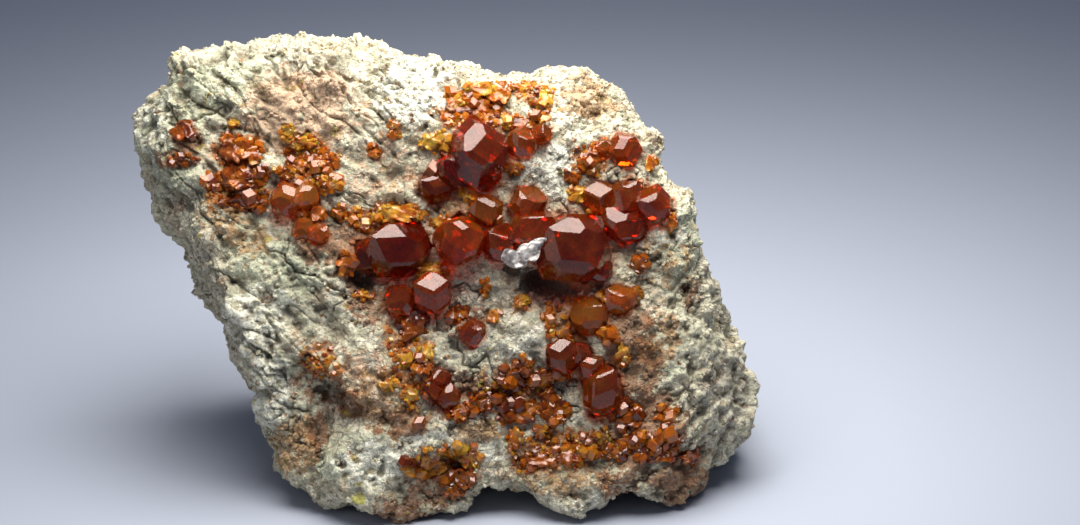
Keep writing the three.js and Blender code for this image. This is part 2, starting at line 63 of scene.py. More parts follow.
# The outline of the stone as seen square to its face, anticlockwise from the right-hand tip.
OUTLINE = np.array([
    (46.6, -15.4), (43, -11), (39.2, -7), (37.8, -1.7), (35.5, 3.2), (34, 8.2), (33.8, 12),
    (30.8, 13.4), (29.8, 16.2), (29.3, 20.8), (27, 23), (25.2, 25.9), (21.5, 28.4), (18.6, 30.1),
    (13.8, 30.1), (11.8, 29.4), (8.9, 30.6), (4.3, 31.3), (1.1, 30.8), (-1, 31.4), (-7.1, 33),
    (-12.6, 34.1), (-16.9, 36.2), (-20.3, 34.7), (-24.3, 34.3), (-29.3, 32.5), (-33.4, 33.3),
    (-40.2, 33.2), (-42.3, 28.7), (-44.6, 25.4), (-46, 20.5), (-45.8, 13), (-42.2, 6.4),
    (-37.9, 1), (-34, -5), (-30.6, -10), (-29.2, -17), (-29.6, -23), (-26.9, -25), (-23.6, -30),
    (-19.8, -33.4), (-12.9, -34.2), (-8.2, -36), (0, -34.8), (4.6, -30), (10, -29.4),
    (13.9, -31), (18.4, -33), (22.4, -31), (25.3, -29), (28.2, -30.4), (32.8, -32), (37.2, -29.8),
    (41.6, -24.5), (46, -19.8),
])

# The broken faces that bound the stone: a point, then the tilt from the crystal face and the
# direction of that tilt, in degrees.
BROKEN_FACES = [
    ("crystal face", (0, 0, 0.4), 0, 0),
    ("bright top slope", (-6, 24, 0), 27, 84),
    ("upper left slope", (-31, 24, 0), 14, 140),
    ("left flank", (-37.5, 1, -8), 68, 203),
    ("lower left slope", (-25, -25, -1.5), 32, 226),
    ("right slope", (35, 11, -1.5), 33, 12),
    ("lower right slope", (36, -16, -1), 38, -22),
    ("upper right slope", (25.5, 25.5, -1), 40, 52),
    ("back", (0, 0, -31.5), 156, 90),
    ("back left", (-45, 17, -17), 124, 190),
    ("back lower left", (-29, -20, -22), 112, 214),
    ("back right", (46, -16, -18), 120, -4),
    ("back top", (-8, 35, -13), 122, 86),
    ("back upper right", (28, 27, -15), 126, 46),
    ("underside", (0, -35.3, 0), 114, -90),
]

# Swells and hollows of the surface: place, radius and height.
SWELLS = [
    ("brow above the band", (4, 10, 0), 9, 1),
    ("shelf under the band", (15.5, 2.2, 0), 6, 1.6),
    ("hollow under the largest garnet", (15.5, -2.2, 0), 4.6, -2.8),
    ("hollow under the left garnets", (-10, 0.5, 0), 4.5, -1.8),
    ("white knob", (10.5, -7.6, 0), 5, 2.2),
    ("white knob, upper", (15, 17.5, 0), 5, 1.5),
    ("knob by the right rim", (33, 10, -2), 4, 1.6),
    ("pit in the brown patch", (-13.5, -18, 0), 3.2, -2.2),
    ("rim of that pit", (-13.5, -13.5, 0), 4, 1.1),
    ("cleft below the brown patch", (-19, -20.5, 0), 2.6, -2.4),
    ("front lobe", (-10, -27, 0), 7, 2),
    ("shelf above the druse", (-1.5, -21.6, 0), 4.5, 1.8),
    ("hollow of the druse", (-1.6, -26.6, 0), 4.2, -2),
    ("middle lobe", (17.5, -30, -1), 6, 1.6),
    ("right lobe", (31, -28, -2), 6, 1.4),
    ("left lip", (-31, 2, -1), 6, 1.2),
    ("left trough", (-37, 14, -1), 4, -1.2),
    ("foot", (0, -20.5, -24), 14, 1.2),
]

# The large chips of its surface: height, shift of the pattern and size.
LARGE_CHIPS = [(1.1, (0, 0, 0), 13), (0.6, (40, 0, 0), 6.5)]

# Where the surface differs a little from the solid's: place, radius and height.
CHIPPED = [
    ("upper left edge", (-26.5, 34.5, -4), 6.5, -2.6),
    ("top, left of its peak", (-17.5, 35.5, -3), 3.2, 0.8),
    ("top, right of its peak", (-11.5, 34.5, -3), 3.8, -2.2),
    ("upper left corner", (-43.5, 28.5, -5), 6, -2),
    ("left edge", (-45, 15, -8), 4, 0.8),
    ("left edge, lower", (-43.5, 10, -9), 5.5, 2.1),
    ("lower left edge", (-28.5, -19.5, -6), 4.5, 1.7),
    ("edge of the lower left lobe", (-20.5, -31, -4), 4, 1.3),
    ("end of the lower left lobe", (1, -34.5, -2), 3, 1),
    ("left shoulder of the middle lobe", (14.6, -31.4, -2), 2.8, 1.3),
    ("right shoulder of the middle lobe", (21.8, -31, -2), 2.8, 1.3),
    ("tip of the middle lobe", (18.2, -35, -2), 2.4, -1),
    ("undercut of the largest garnet", (13.8, -0.9, -0.5), 2.8, -3),
    ("undercut of the band", (9, 0.8, 0), 2, -1.4),
    ("undercut of the left garnets", (-12.4, 0.2, -0.5), 2.2, -1.8),
]

# The garnets that sit in the stone, by node, as their solids have them: place, size across, spin
# about the bright facet, how far the middle stands out, depth of colour from 0, clear orange, to 1,
# dark red, and any stretch along x and h.
GARNETS = {
    "garnet_band_right": [
        ((17.7, 4.5), 9.6, -6, 0.34, 0.8, 1.08),
        ((21.3, 1.5), 3.4, 20, 0.3, 0.7),
        ((12, 6.8), 6.2, 28, 0.44, 0.6, 1.2),
        ((7.7, 5.3), 5.2, 18, 0.38, 0.65, 1.15),
        ((11, 10.7), 5.2, -20, 0.3, 0.3),
    ],
    "garnet_band_middle": [
        ((1.2, 5.5), 7, 35, 0.32, 0.45),
        ((5, 9.9), 4.6, 15, 0.26, 0.1),
    ],
    "garnet_band_left": [
        ((-7.4, 4.4), 7.8, 3, 0.3, 0.95, 1.16),
        ((-11.8, 3.6), 4.6, -30, 0.26, 0.85),
    ],
    "garnet_cluster_right": [
        ((21.4, 11.7), 4.8, 4, 0.28, 0.3),
        ((25.2, 11.3), 5.6, 70, 0.34, 0.35),
        ((29, 10.7), 5.2, 55, 0.3, 0.5),
        ((25, 7.9), 5.2, -12, 0.24, 0.7, 1.3),
    ],
    "garnet_upper_large": [
        ((4, 17.9), 8, 50, 0.34, 0.75, 1, 1.15),
        ((0.6, 15.6), 5.4, 30, 0.28, 0.95),
        ((-2, 13.3), 4.4, -15, 0.24, 0.7, 1.15),
    ],
    "garnet_upper_brown": [
        ((10.4, 19.7), 4.4, 20, 0.24, 0.15),
        ((12.9, 20.8), 3, 50, 0.24, 0.15),
    ],
    "garnet_right_upper": [
        ((25, 18.7), 4.6, 25, 0.28, 0.2),
        ((22.2, 18.9), 2.8, 0, 0.26, 0.15),
    ],
    "garnet_left_pair": [
        ((-23.2, 11.5), 4.6, 15, 0.34, 0.3),
        ((-20.7, 11.9), 4, -25, 0.34, 0.15),
    ],
    "garnet_left_low": [
        ((-20.8, 7.2), 3.4, 40, 0.26, 0.2),
        ((-18.7, 6.5), 3, 10, 0.3, 0.3),
    ],
    "garnet_below_band": [
        ((-2.6, -1.7), 5.6, 8, 0.34, 0.45),
        ((-7, -2.9), 4.4, 35, 0.3, 0.5),
    ],
    "garnet_mid_small": [((3.3, -7.6), 3.6, 0, 0.26, 0.45)],
    "garnet_mid_low": [
        ((-1.4, -14.2), 3.2, 20, 0.3, 0.5),
        ((-0.4, -16.6), 3.6, 50, 0.26, 0.45),
    ],
    "garnet_low_flat": [
        ((20, -5.2), 5.4, 45, 0.12, 0.05),
        ((24, -2.8), 4.2, 15, 0.14, 0.15, 1.25),
    ],
    "garnet_low_facet": [
        ((16, -10.8), 4.8, 10, 0.34, 0.5),
        ((18.7, -10.4), 3.2, -35, 0.3, 0.55),
    ],
    "garnet_low_large": [
        ((21.8, -15.9), 5.8, 55, 0.34, 0.5, 1, 1.25),
        ((20.2, -12.6), 3.8, 15, 0.3, 0.4),
    ],
}

# The nodes whose garnets are cloudy, and the places of the garnets that keep one face in the bright
# direction.
CLOUDY = ("garnet_left_pair", "garnet_left_low", "garnet_low_flat")
FLASHING = [
    (17.7, 4.5), (4, 17.9), (-7.4, 4.4), (-2.6, -1.7), (16, -10.8), (21.4, 11.7), (20.2, -12.6),
]

# Small garnets of the crusts that do so too: place and size.
BRIGHT_SMALL = [
    ((15.7, -13.3), 1.7), ((24.6, -18.3), 1.6), ((-2.2, 15.6), 2.2), ((-28.6, 11.9), 1.9),
    ((-34.3, 14.3), 1.7), ((-26.9, 15.4), 1.7), ((-21.4, 13.6), 1.4), ((-21, 9.4), 1.4),
    ((6.7, 8.6), 1.8), ((-4.3, -11), 1.3), ((12.1, -14.3), 1.8), ((26.4, -22.9), 1.5),
    ((19, -22.4), 1.2), ((20, 16.7), 1.3), ((-4.3, -20.3), 1.8), ((0.2, -27.9), 1.5),
    ((3.4, 25.2), 1.6), ((12.2, 23.4), 1.6), ((-22.6, 17), 1.3), ((8.7, -17.4), 1.4),
]

# Crusts of small garnets, by the node of each crust's solid, and the strays that belong to none:
# ovals by place and half sizes, with their tone from 0, red brown, to 1, golden.
CRUSTS = {
    "druse_left_ring": [
        ((-31.1, 18.6), (2, 1.7), 0.4), ((-28.3, 18.1), (1.7, 1.4), 0.3),
        ((-32, 20.2), (1.1, 0.8), 0.5), ((-31.2, 22.4), (0.8, 0.5), 0.9),
    ],
    "druse_left_middle": [
        ((-34, 14.3), (1.5, 1.3), 0.4), ((-30, 14.4), (3.1, 1.4), 0.3),
        ((-26.9, 15.2), (1.5, 1.2), 0.5), ((-29.3, 11.2), (2.9, 1.1), 0.1),
    ],
    "druse_left_gold": [
        ((-23.3, 21), (0.9, 1.4), 0.8), ((-20.7, 19.7), (1.8, 0.9), 0.8),
        ((-18.3, 17.1), (1.7, 1.5), 0.3), ((-21, 16.4), (2.8, 1.1), 0.4),
        ((-17.1, 13.9), (1.8, 1.4), 0.7), ((-23.4, 15.2), (1.4, 0.8), 0.5),
    ],
    "druse_upper_gold": [
        ((-3.1, 19.7), (1.5, 1), 0.9), ((-1.2, 20.1), (1.5, 1.2), 0.9),
        ((-0.4, 18.6), (1.1, 1.1), 0.5),
    ],
    "druse_upper_lumps": [
        ((3.6, 24.6), (3.6, 1.5), 0.3), ((0.7, 25.7), (1.7, 1.4), 0.7),
        ((4.3, 27.4), (2.6, 1.1), 0.8), ((0, 23.6), (1.2, 0.9), 0.6), ((7, 26.6), (1.6, 1.2), 0.6),
    ],
    "druse_top_ring": [
        ((11, 28.1), (1, 0.7), 0.7), ((9.3, 27.9), (1.2, 0.6), 0.6), ((13.6, 26.2), (1, 1.3), 0.8),
        ((10, 22.7), (2, 0.8), 0.4), ((12.9, 23.3), (1.7, 0.9), 0.5), ((8, 22.8), (1, 0.9), 0.8),
    ],
    "druse_right_gold": [
        ((20, 17.1), (1.7, 1.3), 0.4), ((17.4, 14.6), (1.2, 0.9), 0.3),
        ((18.1, 12.3), (1.2, 1.2), 0.9), ((21.1, 18.9), (0.9, 0.7), 0.4),
    ],
    "druse_mid_column": [
        ((-5.4, -6.4), (2, 2.3), 0.05), ((-6.6, -11), (1.1, 1.1), 0.6),
        ((-2.9, -10.3), (0.9, 1.4), 0.7), ((-8.6, -14.7), (1.1, 1), 0.9),
        ((-5.7, -16.4), (1.1, 1.7), 0.8), ((-3.6, -12.4), (1.4, 1), 0.4),
    ],
    "druse_mid_low": [
        ((10.4, -12.1), (1.4, 1.1), 0.5), ((9.3, -14.3), (2.4, 1.5), 0.2),
        ((13.4, -14), (1.7, 1.2), 0.3), ((4.3, -17.4), (2, 1.4), 0.2), ((10, -18.9), (3.2, 1.4), 0.25),
        ((1.4, -18.9), (1.5, 1), 0.4), ((-2, -15), (1.5, 1.8), 0.3), ((7.8, -16.6), (1.6, 1.2), 0.1),
    ],
    "druse_mid_right": [
        ((15, -18.6), (1.7, 1.9), 0.3), ((15.6, -13.6), (1.2, 0.9), 0.4),
        ((14, -16.4), (1.1, 1.1), 0.3),
    ],
    "druse_hollow": [
        ((0, -24.3), (4, 1), 0.9), ((-2.9, -26.4), (3.2, 1.7), 0.6), ((0.8, -28.2), (2.8, 1.4), 0.25),
        ((0.3, -30.3), (1.2, 0.9), 0.5), ((2.8, -25.6), (1.6, 1.1), 0.7),
    ],
    "druse_low_left": [
        ((16.9, -25), (2.6, 1.3), 0.5), ((20, -24.3), (2.3, 1.2), 0.4),
        ((12.9, -25.7), (2, 1.2), 0.4), ((9.3, -22.6), (1, 1.4), 0.6),
    ],
    "druse_low_right": [
        ((25, -19.3), (2.3, 1.7), 0.1), ((27.1, -22.9), (2.9, 1.3), 0.35),
        ((30.7, -22.9), (2.2, 1.7), 0.3), ((30.7, -19.3), (1.7, 1.2), 0.4),
        ((29.3, -25), (3.4, 1.2), 0.2), ((34.3, -25.4), (1.6, 1.1), 0.1),
    ],
    None: [
        ((-37.8, 21.4), (1.7, 1.4), 0.1), ((-37.8, 17.2), (2, 0.9), 0.1),
        ((-12.6, -2.2), (1.4, 0.7), 0.7),
        ((-7.8, 9.4), (4, 1.1), 0.8), ((-12.8, 8.4), (1.4, 1.4), 0.4), ((27.1, 2.2), (1.1, 1.1), 0.2),
        ((24.3, -2.4), (2.8, 1.2), 0.5), ((14.3, -5.4), (0.9, 2.3), 0.7), ((6.4, -5.1), (1, 1), 0.7),
        ((10, -3.1), (1.1, 0.9), 0.9), ((5, -1.4), (0.6, 1.4), 0.6), ((1.1, -5.4), (1.4, 1.6), 0.1),
        ((-2.8, 1.4), (2.3, 0.9), 0.8), ((-11, 18.3), (0.9, 0.9), 0.4), ((-7.8, 21.4), (1, 1.4), 0.6),
        ((-19, 9.4), (1.2, 1.2), 0.4), ((-15.6, 9.6), (1.2, 1), 0.6), ((28.8, 16.8), (0.8, 1.2), 0.6),
        ((20.6, 10), (1, 1.2), 0.8), ((31.6, 8), (0.8, 1.2), 0.5), ((-14.6, 2.4), (1.6, 1.8), 0.3),
        ((13, -21.6), (1.2, 0.8), 0.5), ((22.6, -7.6), (1.6, 1.2), 0.4), ((24.6, -10.6), (1, 1.8), 0.6),
        ((23.6, -24.6), (1.6, 1), 0.4), ((16.8, -8), (1, 1.4), 0.5), ((-1.4, 8.4), (1.6, 0.8), 0.7),
        ((8.6, 16), (1.6, 0.9), 0.5), ((3.2, 12.4), (1.8, 0.9), 0.7),
    ],
}

# Stains and colour changes of the rock, and painted shade, in the order in which they are laid on.
# Each kind has its screen colour, how much it covers at most, and its patches: place, half sizes,
# turn in degrees and strength. The dark kind is painted shade under the garnets, and a few patches
# of other kinds paint light or shade as well, as said at them.
STAINS_AND_SHADE = {
    "green": ((194, 200, 168), 0.65, [
        ((-40, 22), (7, 13), 0, 0.9), ((-26, 2), (9, 7), -45, 0.8), ((-15, -25.5), (8, 5), 0, 0.7),
        # The patch at (-33, 29) is green rock and also painted shade that tones down the brightly lit
        # top.
        ((33, 4), (4, 10), 0, 0.7), ((30, -13), (5, 4), 0, 0.6), ((-33, 29), (9, 5), 0, 0.9),
    ]),
    "white": ((245, 243, 222), 0.85, [
        ((-5, 27.5), (8, 5.5), 0, 1.1), ((18, 25), (7, 4.5), -20, 0.7),
        ((14.4, 15.4), (4.8, 4.6), 0, 1.1), ((10.4, -9), (5, 4.2), 0, 0.6),
        ((31, 7.5), (4, 3), 0, 0.8), ((5, -24), (5, 2.4), -35, 0.7),
        ((-4, -22.6), (7, 1.3), 12, 0.8), ((18, -32), (6, 2.4), 0, 0.5),
        # The patches at (-25.5, -15) and (-28, -5) are paler rock and also painted light that lifts the
        # shade of a slope turned away from the lamp.
        ((-11, -26), (7, 4), 0, 0.9), ((-25.5, -15), (3.4, 8), 0, 0.8),
        ((-28, -5), (6, 7), -40, 0.75), ((-44, 22), (4, 9), 0, 0.5),
    ]),
    "grey": ((170, 166, 152), 0.65, [
        ((2.8, -0.6), (5.4, 3), 0, 0.8), ((3, -7), (4.6, 6), 0, 0.9), ((24, 6), (5, 2.4), 0, 0.7),
        ((41, -16), (7, 8), 0, 0.7),
    ]),
    "pink": ((206, 164, 130), 0.75, [
        ((-20.5, 24.5), (11, 8), 0, 0.9), ((-22, 16), (6, 5), 0, 0.5), ((-9, 15), (6, 8), 0, 0.55),
        ((-12.5, -15), (6, 6), 0, 0.8),
    ]),
    "tan": ((190, 148, 100), 0.85, [
        ((-31, 8), (8, 4), -35, 0.6), ((-22, -24), (4, 5), 0, 0.8), ((-9, -17), (6, 6), 0, 0.6),
        ((20, 26), (5, 4.5), -40, 0.8), ((2, 12), (5, 4), 0, 0.7), ((30, 3), (5, 6), 0, 0.45),
        ((15.7, -28.4), (8, 3), 0, 0.7), ((4.3, -21.4), (4.4, 2.6), 0, 0.8),
        ((30, -8.6), (4, 5.4), 0, 0.7),
    ]),
    "brown": ((150, 94, 56), 0.8, [
        ((-37.4, 20.6), (3, 2.6), 0, 1.1), ((-38.6, 17.4), (3.4, 1.8), 0, 1.0),
        ((-19.5, 7), (3.6, 5), 0, 0.9), ((-13.6, 4.5), (5, 5.6), 0, 0.95),
        ((-12, -3), (4.4, 3.6), -40, 0.8), ((-17.5, -15), (6, 5), 0, 0.55),
        ((-14.6, -18.6), (2.6, 1.4), 0, 0.7), ((-18.8, -21.6), (1.8, 3), 0, 0.9),
        ((-6, -20.4), (5, 2.6), 10, 0.8), ((4, -16), (9, 4.4), 12, 0.8),
        ((24.5, -6.5), (6.4, 4.6), -10, 0.95), ((26, -12), (4.6, 6), 0, 0.9),
        ((28, -21.5), (7.4, 7), 0, 0.95), ((33, -28.4), (6, 4), 0, 0.95),
        ((-1.4, -28.4), (6.4, 5.6), 12, 0.9), ((-6, -32), (6, 2.6), 0, 0.7),
        ((34.5, -2), (2.6, 2.6), 0, 0.6), ((3, -6), (3.6, 3.2), 0, 0.7),
        # The patch at (-6, -34.6) along the bottom edge is brown rock and also painted contact shade.
        ((24, -28.6), (4, 3), 0, 0.7), ((-6, -34.6), (9, 2.4), 0, 0.9), ((34, -31), (5, 3), 0, 0.9),
    ]),
    "orange": ((188, 112, 40), 0.85, [
        ((-31.4, 18.4), (4.6, 3), 12, 0.8), ((-29.6, 12.6), (5.4, 3.4), 12, 0.9),
        ((-20.4, 17.6), (5, 4.2), -34, 0.9), ((-8.8, 9.3), (6, 2.4), 0, 0.9),
        ((-19, -11), (4.4, 3.4), -30, 0.7), ((-6.5, -9.5), (3.6, 8), 8, 0.75),
        ((8, -16.6), (7, 3.6), 20, 0.8), ((17, -7), (3, 8), 0, 0.7),
        ((15, -24.2), (9, 3.4), 8, 0.85), ((3.6, 24), (6.5, 4), 10, 0.85),
        ((12, 26.6), (4.5, 3), 0, 0.7), ((11, 20.6), (4, 2.4), 0, 0.7),
        ((-1.5, 19.4), (3, 2.4), 0, 0.7), ((20, 17), (3.4, 3), 40, 0.7), ((27, 11), (6, 4), 0, 0.7),
        ((10.4, -3.4), (2, 1.6), 0, 0.8),
    ]),
    "yellow": ((186, 180, 72), 0.85, [
        ((-12.8, -31.2), (1.4, 0.8), 0, 1.1),
    ]),
    # Painted shade under the garnets and in their undercuts, not a stain of the rock.
    "dark": ((44, 29, 22), 0.93, [
        ((15.8, -0.6), (6.2, 2.7), -4, 1.0), ((9.4, 1.4), (2.8, 1.2), 0, 0.7),
        ((-12.4, 0.8), (3.2, 1.7), -20, 0.8), ((-8.6, -0.2), (3, 1), 0, 0.6),
        ((27, 6.2), (2.4, 0.8), 0, 0.5),
    ]),
}

# The white flake's jagged edge, its middle, and how far it stands off the rock.
FLAKE_EDGE = [
    (13.9, 6), (12.9, 4.4), (12.3, 2.7), (11.2, 2.8), (10, 1.7), (8.4, 2), (7.3, 3), (7.9, 4.4),
    (9.6, 4.1), (11.2, 5.2),
]
FLAKE_MIDDLE = (10.4, 3.5)
FLAKE_OUT = 3.9


# Numbers that repeat.

HASH_WAY = np.array([127.1, 311.7, 74.7])
HASH_SHIFT = 269.5
HASH_SCALE = 43758.5453
CHIP_BLEND = 4.5


def cell_number(cell, channel):
    """A number from 0 to 1 for each grid cell: the fraction of a large multiple of a sine."""
    s = np.sin(cell @ HASH_WAY + channel * HASH_SHIFT) * HASH_SCALE
    return s - np.floor(s)


def chips(p, size):
    """Broken-chip relief, about -1 to 1: each cell's height and slope, blended by the distance to
    the point that the cell holds."""
    q = p / size
    cell = np.floor(q)
    weights = np.zeros(len(q))
    total = np.zeros(len(q))
    for shift in product((-1, 0, 1), repeat=3):
        c = cell + shift
        d = q - c - np.stack([cell_number(c, k) for k in range(3)], 1)
        weight = np.exp(-CHIP_BLEND * (d * d).sum(1))
        slope = sum(d[:, k] * (cell_number(c, 3 + k) - 0.5) for k in range(3))
        weights += weight
        total += weight * (cell_number(c, 6) - 0.5 + 2 * slope)
    return 2 * total / weights


LATTICE_SIDE = 32  # a power of two
LATTICE = np.random.default_rng(7).random((*[LATTICE_SIDE] * 3, 4), dtype=np.float32)


def lattice(cell):
    """Four numbers from 0 to 1 for each whole-numbered cell, repeating every LATTICE_SIDE cells."""
    i = cell.astype(np.int64) & (LATTICE_SIDE - 1)
    return LATTICE[i[:, 0], i[:, 1], i[:, 2]]


def cloud(p, size, channel=0):
    """Smooth value noise, -1 to 1: the lattice's numbers blended by a smooth step on each axis."""
    q = p / size
    cell = np.floor(q)
    f = q - cell
    f = f * f * (3 - 2 * f)
    total = np.zeros(len(q))
    for shift in product((0, 1), repeat=3):
        weight = np.prod(np.where(shift, f, 1 - f), 1)
        total += weight * lattice(cell + shift)[:, channel]
    return 2 * total - 1


OCTAVE_FALL = 0.55
OCTAVE_SHIFT = 17.3


def clouds(p, size, octaves=4, channel=0):
    """Value noise summed over octaves, each half the size and about half the height."""
    total = sum(
        OCTAVE_FALL ** k * cloud(p + OCTAVE_SHIFT * k, size / 2 ** k, channel)
        for k in range(octaves)
    )
    return total / sum(OCTAVE_FALL ** k for k in range(octaves))


def grains(p, size):
    """The distance to the nearest of one scattered point per cell, in cells, and that point's own
    number."""
    q = p / size
    cell = np.floor(q)
    near = np.full(len(q), np.inf)
    own = np.zeros(len(q))
    for shift in product((-1, 0, 1), repeat=3):
        numbers = lattice(cell + shift)
        d = np.sqrt(((q - cell - shift - numbers[:, :3]) ** 2).sum(1))
        closer = d < near
        own = np.where(closer, numbers[:, 3], own)
        near = np.where(closer, d, near)
    return near, own


def smooth(x, low, high):
    """A step from 0 at low to 1 at high that starts and ends level: a cubic between them."""
    t = np.clip((x - low) / (high - low), 0, 1)
    return t * t * (3 - 2 * t)


# The stone's smooth form and relief.

def rim_radii():
    """The outline's distance from the middle at even turns, between its drawn points."""
    angle = np.arctan2(OUTLINE[:, 1], OUTLINE[:, 0])
    order = np.argsort(angle)
    angle, reach = angle[order], np.hypot(*OUTLINE[order].T)
    turns = np.arange(RIM_STEPS) / RIM_STEPS * 2 * np.pi - np.pi
    return RIM_GROWTH * np.interp(turns, angle, reach, period=2 * np.pi)


RIM = rim_radii()
EVEN_RIM = np.mean([np.roll(RIM, k) for k in range(-EVEN_REACH, EVEN_REACH + 1)], 0)


def outline_radius(angle, n):
    """The outline's distance from the middle at an angle and depth: as drawn near the face, and
    with its bays and points evened out further back."""
    place = (angle + np.pi) / (2 * np.pi) * RIM_STEPS
    i = np.floor(place).astype(int)
    share = place - i
    even = smooth(-n, RIM_DEPTH, 2 * RIM_DEPTH)
    here, after = (
        RIM[k] + even * (EVEN_RIM[k] - RIM[k]) for k in (i % RIM_STEPS, (i + 1) % RIM_STEPS)
    )
    return here + (after - here) * share


def facing(tilt, toward):
    """The unit direction that tilts from the face's outward one, toward a turn in the face."""
    t, w = np.radians(tilt), np.radians(toward)
    return np.array([np.sin(t) * np.cos(w), np.sin(t) * np.sin(w), np.cos(t)])


def bounds_of(at, way):
    """A plane as the vector whose product with a point, from the core, is 1 on the plane."""
    return way / (way @ (np.array(at) + (0, 0, CORE_DEPTH)))


BOUNDS = np.array([bounds_of(at, facing(tilt, toward)) for _, at, tilt, toward in BROKEN_FACES])


def form(p):
    """1 on the smooth form: a high power mean of the outline's prism and the broken faces."""
    m = p + (0, 0, CORE_DEPTH)
    reach = np.hypot(p[:, 0], p[:, 1])
    total = (reach / outline_radius(np.arctan2(p[:, 1], p[:, 0]), p[:, 2])) ** EDGE_SHARPNESS
    total += (np.maximum(m @ BOUNDS.T, 0) ** EDGE_SHARPNESS).sum(1)
    return total ** (1 / EDGE_SHARPNESS)


def outward(p, step=0.4):
    """The way out of the smooth form, by differences of it along each axis."""
    axes = np.eye(3) * step
    way = np.stack([form(p + axis) - form(p - axis) for axis in axes], 1)
    return way / np.linalg.norm(way, axis=1, keepdims=True)


def relief(p):
    """How far the large chips, swells and hollows stand above the smooth form."""
    height = sum(rise * chips(p + shift, size) for rise, shift, size in LARGE_CHIPS)
    return height + swelling(p, SWELLS)


def swelling(p, swells):
    """The sum of round swells and hollows, each falling off as a bell does over its radius."""
    return sum(
        rise * np.exp(-((p - at) ** 2).sum(1) / radius ** 2) for _, at, radius, rise in swells
    )


def surface_toward(way):
    """The surface in each direction from the core, with the relief laid on along the direction and
    lengthened where that leaves the form at a slant."""
    base = way / form(way - (0, 0, CORE_DEPTH))[:, None] - (0, 0, CORE_DEPTH)
    ray = way / np.linalg.norm(way, axis=1, keepdims=True)
    slant = np.maximum((ray * outward(base)).sum(1), LEAST_SLANT)
    return base + ray * (relief(base) / slant)[:, None]


def seat(places):
    """The stone's front at each (x, h): the smooth form by halving, then the relief."""
    places = np.atleast_2d(np.asarray(places, float))
    low = np.full(len(places), -CORE_DEPTH)
    high = np.full(len(places), OUTERMOST)
    for _ in range(30):
        middle = (low + high) / 2
        inside = form(np.column_stack([places, middle])) < 1
        low, high = np.where(inside, middle, low), np.where(inside, high, middle)
    base = np.column_stack([places, low])
    rise = relief(base) / np.maximum(outward(base)[:, 2], LEAST_SLANT)
    return base + np.column_stack([np.zeros((len(base), 2)), rise])


def standing(p):
    """From the face frame to the part's frame, still in millimetres."""
    x, h, n = np.moveaxis(np.asarray(p, float), -1, 0)
    y = FACE_Y + h * np.sin(LEAN) - n * np.cos(LEAN)
    z = FACE_Z + h * np.cos(LEAN) + n * np.sin(LEAN)
    return np.stack([x, y, z], -1)


FACE_OUT = standing((0, 0, 1)) - standing((0, 0, 0))  # where n points


# Crystals.

# The bright direction in the face frame, which mirrors a light overhead into the view.
BRIGHT = np.array([0, np.cos(LEAN), 1 + np.sin(LEAN)])
BRIGHT /= np.linalg.norm(BRIGHT)
RHOMB_FACES = np.array([v for v in product((-1, 0, 1), repeat=3) if sum(map(abs, v)) == 2])


def turned(axis, angle):
    """Rotation matrices about unit axes: the usual sum of the identity, the axis' cross product
    and its square."""
    axis = np.atleast_2d(axis)
    angle = np.atleast_1d(angle)
    k = np.zeros((len(axis), 3, 3))
    k[:, 0, 1], k[:, 0, 2], k[:, 1, 2] = -axis[:, 2], axis[:, 1], -axis[:, 0]
    k -= k.transpose(0, 2, 1)
    s, c = np.sin(angle)[:, None, None], np.cos(angle)[:, None, None]
    return np.eye(3) + s * k + (1 - c) * k @ k


def basis(along, out):
    """Rows that point along a direction, square to it, and out."""
    out = np.array(out) / np.linalg.norm(out)
    along = along - (along @ out) * out
    along /= np.linalg.norm(along)
    return np.array([along, np.cross(out, along), out])


KITE_FACES = np.array(
    [v for v in product((-2, -1, 1, 2), repeat=3) if sorted(map(abs, v)) == [1, 1, 2]]
)
CRYSTAL_FACES = np.concatenate([RHOMB_FACES / np.sqrt(2), KITE_FACES / np.sqrt(6)])
FACE_TRIPLES = np.array(list(combinations(range(len(CRYSTAL_FACES)), 3)))


def crystal_corners(reaches):
    """The corners of the body that lies behind every face at these distances from its middle: the
    points where three faces meet, less those that another face cuts off."""
    sides = CRYSTAL_FACES[FACE_TRIPLES]
    meet = np.abs(np.linalg.det(sides)) > 0.02
    far = reaches[FACE_TRIPLES[meet]][..., None]
    points = np.linalg.solve(sides[meet], far)[..., 0]
    kept = points[(points @ CRYSTAL_FACES.T <= reaches + 1e-6).all(1)]
    return kept[np.unique(np.round(kept, 4), axis=0, return_index=True)[1]]


# The two kinds of face that look in the bright direction, and what lies level in each at no spin:
# a rhomb's long diagonal, or the length of the narrow face that bevels an edge.
RHOMB_FACE = basis(np.array([1, -1, 0]), (1, 1, 0))
NARROW_FACE = basis(np.array([-1, 1, 1]), (2, 1, 1))
NARROW_FROM = 7.0  # crystals of this size and over show a narrow face there
TOWARD_BRIGHT = basis(np.array([1, 0, 0]), BRIGHT)
PROUD = 0.18  # how much further out the garnets sit than their solids, as a share of their size


def garnet_frame(at, across, spin, out, _, long=1, tall=1):
    """A garnet's middle, and the matrix from its own axes, one unit across, to the face frame."""
    x, h, n = seat(at)[0]
    middle = np.array([x, h, n + across * (out - 0.5) + PROUD * across])
    own = NARROW_FACE if across >= NARROW_FROM else RHOMB_FACE
    turn = turned(BRIGHT, np.radians(spin))[0] @ TOWARD_BRIGHT.T @ own
    return middle, np.diag([across * long, across * tall, across]) @ turn


SEATED = {node: [garnet_frame(*one) for one in ones] for node, ones in GARNETS.items()}


